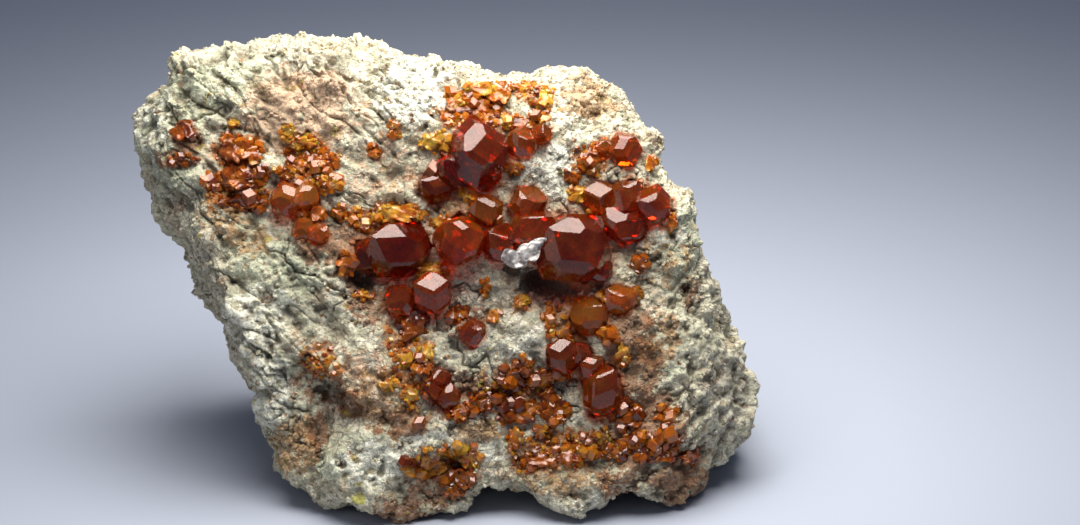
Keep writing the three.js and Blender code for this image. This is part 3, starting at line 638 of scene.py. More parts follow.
def sockets(p):
    """How far inside the nearest garnet each point is: 1 at its middle, 0 on its faces, less
    outside; and how deep that garnet's underside lies below the point, in millimetres."""
    inside = np.full(len(p), -9.0)
    floor = np.zeros(len(p))
    for middle, matrix in (one for ones in SEATED.values() for one in ones):
        size = np.linalg.norm(matrix, axis=0).max()
        near = np.flatnonzero(((p - middle) ** 2).sum(1) < size ** 2)
        own = (p[near] - middle) @ np.linalg.inv(matrix).T
        depth = 1 - (np.abs(own @ RHOMB_FACES.T) / np.sqrt(2)).max(1) * 2
        deeper = depth > inside[near]
        inside[near] = np.where(deeper, depth, inside[near])
        floor[near] = np.where(deeper, p[near, 2] - middle[2] + 0.5 * size, floor[near])
    return inside, floor


# The stone's fine surface.

RIB_LENGTH = 3.4  # in widths
LEFT_RIBS, RIGHT_RIBS = np.radians(-42), np.radians(38)
EVEN_RISE = 0.25  # what the fine relief adds on average, taken off to keep the stone's size


def ribs(p, turn):
    """A point measured along and across ribs at this turn on the face."""
    along = p[:, 0] * np.cos(turn) + p[:, 1] * np.sin(turn)
    across = p[:, 1] * np.cos(turn) - p[:, 0] * np.sin(turn)
    return np.column_stack([along / RIB_LENGTH, across, p[:, 2]])


def fine_relief(p):
    """Ribs of the layering, small chips, rounded grains, ragged pits and cracks, in
    millimetres."""
    x, h = p[:, 0], p[:, 1]
    left, leftward = smooth(-x + 0.35 * h, 8, 24), ribs(p, LEFT_RIBS)
    right, rightward = smooth(x - 0.5 * h, 24, 42), ribs(p, RIGHT_RIBS)

    # Chips: how high, how much of them there is, their pattern and size.
    height = sum(rise * share * chips(pattern, size) for rise, share, pattern, size in (
        (0.6, left, leftward, 3.4), (0.65, right, rightward, 3),
        (0.32, left, leftward + 9, 1.5), (0.34, right, rightward + 9, 1.4),
        (0.5, 1, p + 3, 3.1), (0.3, 1, p + 5, 1.5),
    ))

    # Grains of two sizes, highest at their middles. The large ones are of uneven height.
    wander = 0.5 * np.column_stack([cloud(p, 1.7, k) for k in range(3)])
    near, own = grains(p + wander, 1.15)
    height += 0.42 * (0.55 - near) * smooth(own, 0.15, 0.7)
    height += 0.24 * (0.5 - grains(p + 0.6 * wander, 0.6)[0])

    height -= 0.7 * smooth(clouds(p + 21, 2.4, 4), 0.22, 0.5)  # pits

    # Cracks run where a noise is near nought: how deep, how much of them there is, how near it has
    # to be, and the noise.
    long_ones = left * smooth(cloud(p, 9), -0.3, 0.3)
    for depth, share, end, noise in (
        (0.9, long_ones, 0.06, clouds(leftward * (1, 1.2, 1) + 30, 6, 4)),
        (0.55, left, 0.07, clouds(leftward + 70, 3.4, 3, 2)),
        (0.6, smooth(cloud(p, 11, 2), -0.1, 0.4), 0.035, clouds(p + 60, 8, 4, 1)),
    ):
        height -= depth * share * (1 - smooth(np.abs(noise), 0, end))
    return height + swelling(p, CHIPPED)


def stain_and_shade_masks(p):
    """One mask for each kind of stain or painted shade: the strongest of its patches, each falling off
    from its place over its half sizes, with edges broken by noise. The back has none."""
    ragged = 0.8 * clouds(p, 5, 5) + 0.35 * clouds(p + 50, 1.1, 2)
    front = smooth(p[:, 2], -16, -6)
    masks = {}
    for kind, (_, _, patches) in STAINS_AND_SHADE.items():
        masks[kind] = np.zeros(len(p))
        for at, reach, turn, strength in patches:
            a = np.radians(turn)
            dx, dh = p[:, 0] - at[0], p[:, 1] - at[1]
            u = (dx * np.cos(a) + dh * np.sin(a)) / reach[0]
            v = (dh * np.cos(a) - dx * np.sin(a)) / reach[1]
            away = np.sqrt(u * u + v * v) + 0.5 * ragged
            mask = strength * front * (1 - smooth(away, 0.55, 1.15))
            masks[kind] = np.maximum(masks[kind], mask)
    return masks


def averaged(field, reach):
    """A field on a grid averaged over a square of cells, by running sums along both axes."""
    width = 2 * reach + 1
    for axis in (0, 1):
        padding = [(reach + 1, reach) if k == axis else (0, 0) for k in (0, 1)]
        sums = np.cumsum(np.pad(field, padding, mode="edge"), axis)
        upper, lower = np.arange(width, sums.shape[axis]), np.arange(sums.shape[axis] - width)
        field = (np.take(sums, upper, axis) - np.take(sums, lower, axis)) / width
    return field


def grid_normals(points):
    """Unit normals of a grid of points: the cross product of its two directions."""
    along = np.gradient(points, axis=1)
    up = np.gradient(points, axis=0)
    normal = np.cross(along, up)
    return normal / np.maximum(np.linalg.norm(normal, axis=2, keepdims=True), 1e-9)


FRONT_CELLS = 600  # along each side of the front's grid, and half as many along the back's
BACK_HALF = 15.0  # how deep the body is that the back's grid is wrapped on
SOCKET_GAP = 0.3  # how far below a garnet the rock lies


def stone_half(cells, side):
    """Half of the stone, front (1) or back (-1), as a square grid: rings of the square become
    rings of the outline, and the last rings run over the rim. Inside a garnet the rock drops to
    below it. Returns the places and the masks."""
    a, b = np.meshgrid(np.linspace(-1, 1, cells + 1), np.linspace(-1, 1, cells + 1))
    ring = np.maximum(np.abs(a), np.abs(b))
    share = np.minimum(np.abs(a), np.abs(b)) / np.maximum(ring, 1e-12)
    corner = share * np.pi / 4
    steep = np.where(np.abs(b) > np.abs(a), np.pi / 2 - corner, corner)
    right, up = np.where(a < 0, -1, 1), np.where(b < 0, -1, 1)
    angle = np.arctan2(np.sin(steep) * up, np.cos(steep) * right)
    radius = outline_radius(angle, np.zeros_like(angle))
    half = CORE_DEPTH if side > 0 else BACK_HALF
    walked = ring * (radius + half)
    out = np.minimum(walked, radius)
    deep = half - np.maximum(walked - radius, 0)
    way = np.stack([out * np.cos(angle), out * np.sin(angle), side * deep], -1)
    shape = way.shape
    base = surface_toward(way.reshape(-1, 3))
    normal = side * grid_normals(base.reshape(shape))
    fine = fine_relief(base) - EVEN_RISE
    places = base + normal.reshape(-1, 3) * fine[:, None]
    inside, floor = sockets(places)
    places[:, 2] -= smooth(inside, 0.06, 0.16) * (floor + SOCKET_GAP)
    fine = fine.reshape(shape[:2])
    # How far the fine relief lies below its neighbourhood, where the rock gets painted shade.
    hollow = averaged(fine, cells // 70) - fine
    masks = stain_and_shade_masks(base)
    masks["hollow"] = hollow.ravel()
    masks["bare"] = (inside < 0.02).astype(float)
    masks["rim"] = smooth(inside, -0.3, 0.0) * (1 - smooth(inside, 0.0, 0.1))
    return places.reshape(shape), {k: v.reshape(shape[:2]) for k, v in masks.items()}


# Meshes.

def add_object(name, data):
    """An object of this data in the scene."""
    obj = bpy.data.objects.new(name, data)
    bpy.context.scene.collection.objects.link(obj)
    return obj


def points_of(mesh):
    """The places of a mesh's points, a row each."""
    places = np.empty(len(mesh.vertices) * 3, np.float32)
    mesh.vertices.foreach_get("co", places)
    return places.reshape(-1, 3)


def add_mask(mesh, kind, mask):
    """One number for each point, which materials read by its kind."""
    layer = mesh.attributes.new(kind, "FLOAT", "POINT")
    layer.data.foreach_set("value", mask.astype(np.float32).ravel())


def add_mesh(name, points, faces, material, masks=None, flat=False):
    """A mesh object in metres in the part's frame, from points in the face frame."""
    mesh = bpy.data.meshes.new(name)
    mesh.vertices.add(len(points))
    mesh.vertices.foreach_set("co", (standing(points) * MM).astype(np.float32).ravel())
    corners = faces.shape[1]
    mesh.loops.add(faces.size)
    mesh.loops.foreach_set("vertex_index", faces.astype(np.int32).ravel())
    mesh.polygons.add(len(faces))
    mesh.polygons.foreach_set("loop_start", np.arange(0, faces.size, corners, dtype=np.int32))
    mesh.update(calc_edges=True)
    mesh.validate()
    for kind, mask in (masks or {}).items():
        add_mask(mesh, kind, mask)
    mesh.polygons.foreach_set("use_smooth", np.full(len(mesh.polygons), not flat))
    mesh.materials.append(material)
    return add_object(name, mesh)


def grid_faces(rows, columns, flip):
    """Quads over a grid of rows by columns points."""
    v = np.arange(rows * columns).reshape(rows, columns)
    quads = np.stack([v[:-1, :-1], v[:-1, 1:], v[1:, 1:], v[1:, :-1]], -1).reshape(-1, 4)
    return quads[:, ::-1] if flip else quads


def small_crystal():
    """A rhombic dodecahedron one unit across: the corners of a cube and the tips above its sides,
    and each face's four corners in turn about its middle."""
    signs = np.array(list(product((-1, 1), repeat=3)), float)
    tips = np.concatenate([2 * np.eye(3), -2 * np.eye(3)])
    corners = np.concatenate([signs, tips]) * 0.5 / np.sqrt(2)
    faces = []
    for way in RHOMB_FACES:
        on = np.flatnonzero(np.isclose(corners @ way, (corners @ way).max()))
        spokes = corners[on] - corners[on].mean(0)
        turn = np.arctan2(spokes @ np.cross(way, spokes[0]), spokes @ spokes[0])
        faces.append(on[np.argsort(turn)])
    return corners, np.array(faces)


SMALL_CORNERS, SMALL_FACES = small_crystal()


def scattered_crystals(middles, sizes, lean, seed):
    """Rhombic dodecahedra, each turned, stretched and moved to its place, all at once. lean is how
    far they turn away from the bright direction. Their corners come crystal by crystal."""
    rng = np.random.default_rng(seed)
    count = len(middles)
    axis = rng.normal(size=(count, 3))
    axis /= np.linalg.norm(axis, axis=1, keepdims=True)
    spun = turned(np.tile(BRIGHT, (count, 1)), rng.uniform(0, 2 * np.pi, count))
    matrices = turned(axis, rng.normal(0, lean, count)) @ spun @ TOWARD_BRIGHT.T @ RHOMB_FACE
    stretch = sizes[:, None, None] * rng.uniform(0.8, 1.2, (count, 1, 3))
    points = (SMALL_CORNERS * stretch) @ matrices.transpose(0, 2, 1) + middles[:, None, :]
    shift = np.arange(count)[:, None, None] * len(SMALL_CORNERS)
    return points.reshape(-1, 3), (SMALL_FACES + shift).reshape(-1, 4)


WORN_EDGE = 0.08  # the width of a garnet's worn edges


def add_crystals(name, bodies, tones, material):
    """Closed crystals from their corners: the tightest convex skin over each set of corners, with
    its flat faces whole and its edges worn a little round. Each point has the tone of the crystal
    whose middle is nearest."""
    shape = bmesh.new()
    mesh = bpy.data.meshes.new(name)
    for corners in bodies:
        mesh.clear_geometry()
        mesh.from_pydata((standing(corners) * MM).tolist(), [], [])
        before = len(shape.verts)
        shape.from_mesh(mesh)
        shape.verts.ensure_lookup_table()
        bmesh.ops.convex_hull(shape, input=shape.verts[before:])
    bmesh.ops.dissolve_limit(shape, angle_limit=0.01, verts=shape.verts, edges=shape.edges)
    bmesh.ops.recalc_face_normals(shape, faces=shape.faces)
    shape.to_mesh(mesh)
    shape.free()
    middles = [standing(corners).mean(0) * MM for corners in bodies]
    away = [np.linalg.norm(points_of(mesh) - middle, axis=1) for middle in middles]
    add_mask(mesh, "tone", np.array(tones)[np.argmin(away, 0)])
    mesh.materials.append(material)
    obj = add_object(name, mesh)
    edge = obj.modifiers.new("Worn edges", "BEVEL")
    edge.width = WORN_EDGE * MM
    edge.segments = 2
    edge.limit_method = "ANGLE"
    edge.angle_limit = np.radians(8)
    return obj


# Materials.

class Nodes:
    """A short hand for building a node tree: each call makes a node and links its inputs."""

    def __init__(self, tree):
        self.tree = tree
        tree.nodes.clear()

    def put(self, value, target):
        """Links an output to an input, or sets the input's own value."""
        if isinstance(value, bpy.types.NodeSocket):
            self.tree.links.new(value, target)
        else:
            target.default_value = value

    def add(self, kind, settings=None, **inputs):
        """A node with its settings and inputs. An input goes by its name or by i and its number."""
        node = self.tree.nodes.new("ShaderNode" + kind)
        for key, value in (settings or {}).items():
            setattr(node, key, value)
        for key, value in inputs.items():
            name = key.replace("_", " ")
            self.put(value, node.inputs[int(name[1:]) if name[1:].isdigit() else name])
        return node

    def math(self, operation, a, b):
        """A sum, difference or product of two values."""
        return self.add("Math", {"operation": operation}, i0=a, i1=b).outputs[0]

    def around(self, value, scale, middle=0.5):
        """A value's distance from its middle, scaled."""
        return self.math("MULTIPLY", self.math("SUBTRACT", value, middle), scale)

    def place(self):
        """The place on the piece, which patterns read."""
        return self.add("TexCoord").outputs["Object"]

    def attribute(self, name):
        """A mask of the mesh."""
        return self.add("Attribute", {"attribute_name": name}).outputs["Fac"]

    def noise(self, place, scale, detail=3.0, roughness=0.6):
        """Value noise summed over octaves, 0 to 1."""
        node = self.add("TexNoise", Vector=place, Scale=scale, Detail=detail, Roughness=roughness)
        return node.outputs["Fac"]

    def mix(self, factor, a, b, way="MIX"):
        """Two colours mixed by a factor."""
        settings = {"data_type": "RGBA", "blend_type": way}
        return self.add("Mix", settings, i0=factor, i6=a, i7=b).outputs[2]

    def ramp(self, value, low, high, start=0.0, end=1.0):
        """A straight ramp from start, where the value is low, to end, where it is high."""
        node = self.add("MapRange", {"clamp": True}, Value=value, From_Min=low, From_Max=high,
                        To_Min=start, To_Max=end)
        return node.outputs[0]

    def surface(self, volume=None, **inputs):
        """The material's own shader and output."""
        shader = self.add("BsdfPrincipled", **inputs)
        output = self.add("OutputMaterial", Surface=shader.outputs[0])
        if volume:
            self.put(volume.outputs[0], output.inputs["Volume"])


def rgb(r, g, b):
    """A linear colour from the usual 0 to 255 screen values."""
    c = np.array([r, g, b]) / 255
    return (*np.where(c <= 0.04045, c / 12.92, ((c + 0.055) / 1.055) ** 2.4), 1.0)


def new_material(name):
    """A material and its node tree."""
    material = bpy.data.materials.new(name)
    material.use_nodes = True
    return material, Nodes(material.node_tree)


def new_group(name, inputs, outputs):
    """A node group with named inputs, which have values, and named outputs of their kinds.
    Returns the group, its node tree, and its inputs and outputs as its own nodes see them."""
    group = bpy.data.node_groups.new(name, "ShaderNodeTree")
    for key, value in inputs.items():
        made = group.interface.new_socket(key, in_out="INPUT", socket_type="NodeSocketFloat")
        made.default_value = value
    for key, kind in outputs.items():
        group.interface.new_socket(key, in_out="OUTPUT", socket_type="NodeSocket" + kind)
    n = Nodes(group)
    start, end = (n.tree.nodes.new(kind) for kind in ("NodeGroupInput", "NodeGroupOutput"))
    return group, n, start.outputs, end.inputs


def make_sugar_grain():
    """Granular rock: a speckle that lightens and darkens, and the height of its grains, from two
    sizes of cell and a fine noise."""
    outputs = {"Speckle": "Float", "Height": "Float"}
    group, n, start, end = new_group("Sugar grain", {"Grain scale": 1600.0}, outputs)
    place = n.place()
    scale = start["Grain scale"]
    large = n.add("TexVoronoi", Vector=place, Scale=scale)
    small = n.add("TexVoronoi", Vector=place, Scale=n.math("MULTIPLY", scale, 2.3))
    fine = n.noise(place, n.math("MULTIPLY", scale, 1.4))
    tone = n.add("SeparateColor", Color=small.outputs["Color"]).outputs[0]
    half_fine = n.math("MULTIPLY", fine, 0.5)
    height = n.math("ADD", n.math("MULTIPLY", large.outputs["Distance"], -0.6),
                    n.math("MULTIPLY", small.outputs["Distance"], -0.4))
    n.put(n.math("ADD", n.math("MULTIPLY", tone, 0.5), half_fine), end["Speckle"])
    n.put(n.math("ADD", height, half_fine), end["Height"])
    return group


SUGAR_GRAIN = make_sugar_grain()


def make_rock():
    """Pale green granular rock. Each kind of stain or painted shade takes over grain by grain where
    its mask is strong. The hollows get painted shade, and cracks and the rims of the garnets' sockets
    are darker."""
    material, n = new_material("Pale green rock")
    place = n.place()
    grain = n.add("Group", {"node_tree": SUGAR_GRAIN}, Grain_scale=1500.0)
    speckle, height = grain.outputs
    broad = n.noise(place, 120.0, 4.0)
    medium = n.noise(place, 480.0, 5.0, 0.7)
    crumbs = n.add("TexVoronoi", Vector=place, Scale=1300.0)
    crumb = n.add("SeparateColor", Color=crumbs.outputs["Color"]).outputs
    colour = n.mix(n.ramp(broad, 0.38, 0.62), rgb(209, 204, 175), rgb(226, 217, 190))
    pale = n.math("MULTIPLY", n.ramp(medium, 0.5, 0.62), 0.6)
    colour = n.mix(pale, colour, rgb(240, 234, 212))
    colour = n.mix(n.ramp(medium, 0.48, 0.36, 0.0, 0.55), colour, rgb(158, 156, 122))
    rusty = n.noise(place, 260.0, 6.0, 0.72)
    colour = n.mix(n.ramp(rusty, 0.52, 0.68, 0.0, 0.6), colour, rgb(196, 152, 108))
    uneven = n.around(medium, 2.6)
    # The stains, and the dark kind, which is painted shade under the garnets.
    for index, (kind, (shade, most, _)) in enumerate(STAINS_AND_SHADE.items()):
        mask = n.math("ADD", n.attribute(kind), uneven)
        mask = n.math("ADD", mask, n.around(crumb[index % 3], 0.55))
        colour = n.mix(n.ramp(mask, 0.38, 0.72, 0.0, most), colour, rgb(*shade))
    # Painted shade in the hollows of the fine relief.
    colour = n.mix(n.ramp(n.attribute("hollow"), 0.06, 0.44, 0.0, 0.6), colour, rgb(96, 82, 60))
    wander = n.add("TexNoise", Vector=place, Scale=420.0, Detail=3.0).outputs["Color"]
    drift = n.add("VectorMath", {"operation": "MULTIPLY_ADD"}, i0=wander,
                  i1=(0.003, 0.003, 0.003), i2=place).outputs[0]
    cracks = n.add("TexVoronoi", {"feature": "DISTANCE_TO_EDGE"}, Vector=drift, Scale=560.0)
    crack = n.math("MULTIPLY", n.ramp(cracks.outputs["Distance"], 0.0, 0.07, 1.0, 0.0),
                   n.ramp(broad, 0.42, 0.56, 0.1, 0.65))
    colour = n.mix(crack, colour, rgb(112, 100, 76))
    colour = n.mix(n.ramp(crumb[2], 0.93, 0.95, 0.0, 0.5), colour, rgb(120, 92, 62))
    colour = n.mix(n.math("MULTIPLY", n.attribute("rim"), 0.6), colour, rgb(170, 92, 38))
    colour = n.mix(1.0, colour, n.ramp(speckle, 0.2, 0.8, 0.68, 1.2), "MULTIPLY")
    height = n.math("SUBTRACT", height, n.math("MULTIPLY", crack, 0.6))
    crags = n.noise(place, 620.0, 9.0, 0.72)
    height = n.math("ADD", height, n.math("MULTIPLY", crags, 2.6))
    bump = n.add("Bump", Height=height, Strength=0.8, Distance=0.00036)
    rough = n.ramp(speckle, 0.3, 0.7, 0.7, 0.95)
    n.surface(Base_Color=colour, Roughness=rough, Normal=bump.outputs[0])
    return material


def make_garnet_zones():
    """Redder and more orange zones inside a garnet: its tone, shifted by noise, picks the colour.
    The height is that of the faint waves on its faces."""
    outputs = {"Color": "Color", "Height": "Float"}
    group, n, start, end = new_group("Garnet zones", {"Tone": 0.5}, outputs)
    place = n.place()
    depth = n.math("ADD", start["Tone"], n.around(n.noise(place, 260.0, 4.0), 1.6))
    colour = n.mix(n.ramp(depth, 0.0, 0.5), (1, 0.36, 0.045, 1), (0.86, 0.16, 0.025, 1))
    colour = n.mix(n.ramp(depth, 0.5, 1.0), colour, (0.4, 0.035, 0.012, 1))
    n.put(colour, end["Color"])
    n.put(n.noise(place, 420.0, 2.0), end["Height"])
    return group


GARNET_ZONES = make_garnet_zones()
GARNET_IOR = 1.75


def make_garnet(name, clear):
    """Garnet: orange to dark red by each crystal's own tone, and light that is lost on its way
    through, so that it is darkest where it is thick. clear is how much of it is clear, and the
    rest is cloudy."""
    material, n = new_material(name)
    zones = n.add("Group", {"node_tree": GARNET_ZONES}, Tone=n.attribute("tone")).outputs
    bump = n.add("Bump", Height=zones["Height"], Strength=0.1, Distance=0.0003)
    loss = n.add("VolumeAbsorption", Color=(0.96, 0.58, 0.18, 1), Density=440.0)
    n.surface(loss, Base_Color=zones["Color"], Roughness=0.06, IOR=GARNET_IOR,
              Transmission_Weight=clear, Specular_Tint=(0.64, 0.54, 0.5, 1), Normal=bump.outputs[0])
    return material


def make_crust():
    """Cloudy garnet of the crusts: each small crystal is honey, orange or red brown by its own
    tone, partly clear, and lets light spread inside it."""
    material, n = new_material("Orange garnet")
    place = n.place()
    mixed = n.math("ADD", n.attribute("tone"), n.around(n.noise(place, 700.0, 4.0), 1.1))
    colour = n.mix(n.ramp(mixed, 0.0, 0.45), rgb(112, 42, 10), rgb(198, 106, 20))
    colour = n.mix(n.ramp(mixed, 0.55, 1.0), colour, rgb(232, 172, 60))
    bump = n.add("Bump", Height=n.noise(place, 1500.0), Strength=0.3, Distance=0.0001)
    n.surface(Base_Color=colour, Roughness=0.13, IOR=GARNET_IOR, Transmission_Weight=0.4,
              Specular_Tint=(0.66, 0.6, 0.58, 1), Subsurface_Weight=0.5,
              Subsurface_Radius=(1, 0.35, 0.1), Subsurface_Scale=0.0007, Normal=bump.outputs[0])
    return material


def make_white():
    """White mineral with a faint lustre, greyer in its hollows: grey veins, which follow the low
    parts of its bump and so are painted shade too.
    """
    material, n = new_material("White mineral")
    place = n.place()
    veins_and_hollow_shade = n.noise(place, 1100.0, 5.0, 0.7)
    colour = n.mix(n.ramp(veins_and_hollow_shade, 0.35, 0.6), rgb(132, 122, 116), rgb(214, 207, 200))
    bump = n.add("Bump", Height=veins_and_hollow_shade, Strength=0.6, Distance=0.0003)
    n.surface(Base_Color=colour, Roughness=0.45, Normal=bump.outputs[0])
    return material


def make_floor():
    """Plain pale board."""
    material, n = new_material("Pale floor")
    n.surface(Base_Color=rgb(170, 175, 187), Roughness=0.65)
    return material


ROCK = make_rock()
RED_GARNET = make_garnet("Red garnet", 0.92)
CLOUDY_GARNET = make_garnet("Cloudy orange garnet", 0.86)
SMALL_GARNET = make_crust()
WHITE_MINERAL = make_white()
FLOOR = make_floor()


# The stone.

GRAIN_COUNT = 6000


def add_rock(name, points, faces, masks, flat=False):
    """A piece of the stone. Nothing of it goes below the ground that it stands on."""
    piece = add_mesh(name, points, faces, ROCK, masks, flat)
    places = points_of(piece.data)
    places[:, 2] = np.maximum(places[:, 2], 0)
    piece.data.vertices.foreach_set("co", places.ravel())
    piece.data.update()
    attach(piece, "root")
    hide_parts("matrix")


def add_rock_grid(name, grid, masks, flip):
    """A piece of the stone from a grid of points and its masks."""
    masks = {kind: mask.ravel() for kind, mask in masks.items()}
    add_rock(name, grid.reshape(-1, 3), grid_faces(*grid.shape[:2], flip), masks)


def build_stone():
    """Five pieces that meet edge to edge: the front in four strips, and the back. Along the rim the
    front's extra points lie on the back's straight edges. Returns the front's points and masks for
    what sits on it."""
    front, masks = stone_half(FRONT_CELLS, 1)
    back, back_masks = stone_half(FRONT_CELLS // 2, -1)
    for edge in (np.s_[0, :], np.s_[-1, :], np.s_[:, 0], np.s_[:, -1]):
        rim = front[edge]
        rim[1::2] = (rim[:-1:2] + rim[2::2]) / 2
        back[edge] = rim[::2]
    strips = ("left", "mid_left", "mid_right", "right")
    width = FRONT_CELLS // len(strips)
    for index, place in enumerate(strips):
        columns = np.s_[:, index * width : (index + 1) * width + 1]
        kept = {kind: mask[columns] for kind, mask in masks.items()}
        add_rock_grid("stone_front_" + place, front[columns], kept, False)
    add_rock_grid("stone_back", back, back_masks, True)
    return front.reshape(-1, 3), {kind: mask.ravel() for kind, mask in masks.items()}


def for_corners(values):
    """A value for each of several small crystals, repeated for each of its corners."""
    return np.repeat(values, len(SMALL_CORNERS))


def build_grains(points, masks):
    """Loose-looking grains of the rock, scattered over the front, most where it is brown or tan."""
    rng = np.random.default_rng(21)
    chance = (masks["bare"] > 0.5) * (0.3 + masks["brown"] + masks["tan"])
    chosen = rng.choice(len(points), GRAIN_COUNT, replace=False, p=chance / chance.sum())
    sizes = 0.28 + 0.5 * rng.random(GRAIN_COUNT) ** 3
    corners, faces = scattered_crystals(points[chosen], sizes, 1.5, 22)
    kept = {kind: for_corners(mask[chosen]) for kind, mask in masks.items()}
    add_rock("stone_grains", corners, faces, kept, flat=True)


# Crystals on the stone.

WIDE_BEVEL, SLIGHT_BEVEL = 1.03, 1.045  # how far out the bevelling faces are, by the flat ones
FLASHING_LEAN = 0.03


def build_garnets():
    """The larger garnets, each with its faces at slightly uneven distances from its middle. The
    few that flash keep a face in the bright direction, and the others lean away from it."""
    for seed, (node, ones) in enumerate(GARNETS.items()):
        rng = np.random.default_rng(100 + seed)
        bodies, tones = [], []
        for (middle, matrix), (at, across, _, _, tone, *_) in zip(SEATED[node], ones):
            bevel = WIDE_BEVEL if across >= NARROW_FROM else SLIGHT_BEVEL
            rhombs = 0.5 * (1 + rng.normal(0, 0.05, len(RHOMB_FACES)))
            kites = 0.5 * bevel * (1 + rng.normal(0, 0.04, len(KITE_FACES)))
            toward, far = rng.uniform(0, 2 * np.pi), rng.uniform(0.3, 0.5)
            axis = np.cos(toward) * TOWARD_BRIGHT[0] + np.sin(toward) * TOWARD_BRIGHT[1]
            lean = turned(axis, FLASHING_LEAN if at in FLASHING else far)[0]
            corners = crystal_corners(np.concatenate([rhombs, kites]))
            bodies.append(corners @ (lean @ matrix).T + middle)
            tones.append(tone)
        material = CLOUDY_GARNET if node in CLOUDY else RED_GARNET
        piece = add_crystals(node.replace("garnet", "crystals"), bodies, tones, material)
        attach(piece, "root")
        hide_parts(node)


DEEPEST = 2.6  # how far down from its middle a crust follows the rock
LARGEST = 2.3  # the size of a crust's largest crystals
SEED_COUNT = 1100


def add_crust(name, corners, faces, tones, node=None):
    """A piece of small garnets, which may take the place of a crust's solid."""
    piece = add_mesh(name, corners, faces, SMALL_GARNET, {"tone": tones}, flat=True)
    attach(piece, "root")
    if node:
        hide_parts(node)


def crust_of(points, masks, ovals, seed):
    """Small garnets of several ovals: at random points of the rock inside each, sunk to different
    depths so that they grow into each other. Returns their corners, faces and tones."""
    rng = np.random.default_rng(seed)
    picked, sizes, tones = [], [], []
    for at, reach, tone in ovals:
        far = np.hypot(*((points[:, :2] - at) / reach).T) + 0.3 * cloud(points, 1.3)
        high = points[:, 2] > seat(at)[0, 2] - DEEPEST
        over = np.flatnonzero((far < 1.1) & high & (masks["bare"] > 0.5))
        count = min(int(5 + 2.4 * np.pi * reach[0] * reach[1]), len(over))
        chosen = rng.choice(over, count, replace=False)
        most = np.clip(1.5 * min(reach), 1.1, LARGEST)
        size = 0.6 + (most - 0.6) * rng.random(count) ** 2.2 * (1.2 - 0.5 * far[chosen])
        picked.append(chosen)
        sizes.append(np.maximum(size, 0.5))
        tones.append(np.clip(rng.normal(tone, 0.2, count), 0, 1))
    picked, sizes, tones = (np.concatenate(part) for part in (picked, sizes, tones))
    sunk = 0.25 + rng.uniform(-0.34, 0.06, len(picked)) * sizes
    middles = points[picked] + np.outer(sunk, (0, 0, 1))
    corners, faces = scattered_crystals(middles, sizes, 1.3, seed)
    return corners, faces, for_corners(tones)


def pillow_grid(around, rings):
    """The two parameters of a closed pillow: the turn about its middle, and the ring, which goes
    from 0 at the front's middle over the edge to a half turn at the back's middle."""
    turns = np.arange(around + 1) / around * 2 * np.pi
    return np.meshgrid(turns, np.arange(rings + 1) / rings * np.pi)


def crust_skin(at, reach, tone, seed):
    """The massive garnet under one oval of a crust: a closed pillow that follows the rock, with a
    ragged edge, a top that falls as a circle does, and chips as lumps. It stops short where the
    rock falls away. Returns its points, faces and tones."""
    turn, ring = pillow_grid(48, 28)
    across, up = np.cos(turn.ravel()), np.sin(turn.ravel())
    way = np.column_stack([reach[0] * np.cos(turn[0]), reach[1] * np.sin(turn[0])])

    # The share of the oval that the skin covers in each direction: step by step, as long as the
    # rock there isn't too deep, and then averaged with its neighbours.
    shares = np.full(turn.shape[1], 0.3)
    for share in (0.45, 0.6, 0.8, 1.0):
        near = seat(at + 1.2 * share * way)[:, 2] > seat(at)[0, 2] - DEEPEST
        shares = np.where(near & (shares > share - 0.21), share, shares)
    shares = np.mean([np.roll(shares[:-1], k) for k in range(-2, 3)], 0)
    shares = np.tile(np.append(shares, shares[0]), len(ring))

    ragged = cloud(np.column_stack([2 * across, 2 * up, np.full(turn.size, seed)]), 0.8)
    out = shares * np.sin(ring).ravel() ** 0.7 * (0.9 + 0.5 * ragged)
    x, h = at[0] + reach[0] * out * across, at[1] + reach[1] * out * up
    points = seat(np.column_stack([x, h]))
    lumps = 0.6 * chips(points + 11, 1.8) + 0.45 * chips(points + 31, 0.9)
    points[:, 2] += 0.45 * np.cos(ring).ravel() + (0.15 + lumps) * np.sin(ring).ravel()
    return points, grid_faces(*turn.shape, True), tone + 0.5 * cloud(points, 1.2)


def build_crusts(points, masks):
    """The crusts in place of their solids, and the strays."""
    for seed, (node, ovals) in enumerate(CRUSTS.items()):
        corners, faces, tones = crust_of(points, masks, ovals, 300 + seed)
        parts = [crust_skin(*oval, 3 * k + seed) for k, oval in enumerate(ovals)]
        for skin, skin_faces, skin_tones in parts:
            faces = np.concatenate([faces, skin_faces + len(corners)])
            corners = np.concatenate([corners, skin])
            tones = np.concatenate([tones, skin_tones])
        name = node.replace("druse", "crust") if node else "crust_strays"
        add_crust(name, corners, faces, tones, node)


def build_seeds(points, masks):
    """Tiny garnets strewn where the rock is stained orange, and a few where it is brown."""
    rng = np.random.default_rng(41)
    chance = (masks["bare"] > 0.5) * np.clip(masks["orange"] + 0.3 * masks["brown"] - 0.5, 0, 1)
    chance *= standing(points)[:, 2] > 1.5
    chosen = rng.choice(len(points), SEED_COUNT, replace=False, p=chance / chance.sum())
    sizes = 0.3 + 0.6 * rng.random(SEED_COUNT) ** 2
    corners, faces = scattered_crystals(points[chosen], sizes, 1.3, 42)
    add_crust("crust_seeds", corners, faces, for_corners(rng.random(SEED_COUNT)))


def build_bright_small():
    """The small garnets that flash, half sunk in their crusts."""
    places, sizes = (np.array(part) for part in zip(*BRIGHT_SMALL))
    middles = seat(places) + np.outer(0.1 * sizes + 0.3, (0, 0, 1))
    corners, faces = scattered_crystals(middles, sizes, 0.04, 61)
    add_crust("bright_small_garnets", corners, faces, np.full(len(corners), 0.2))


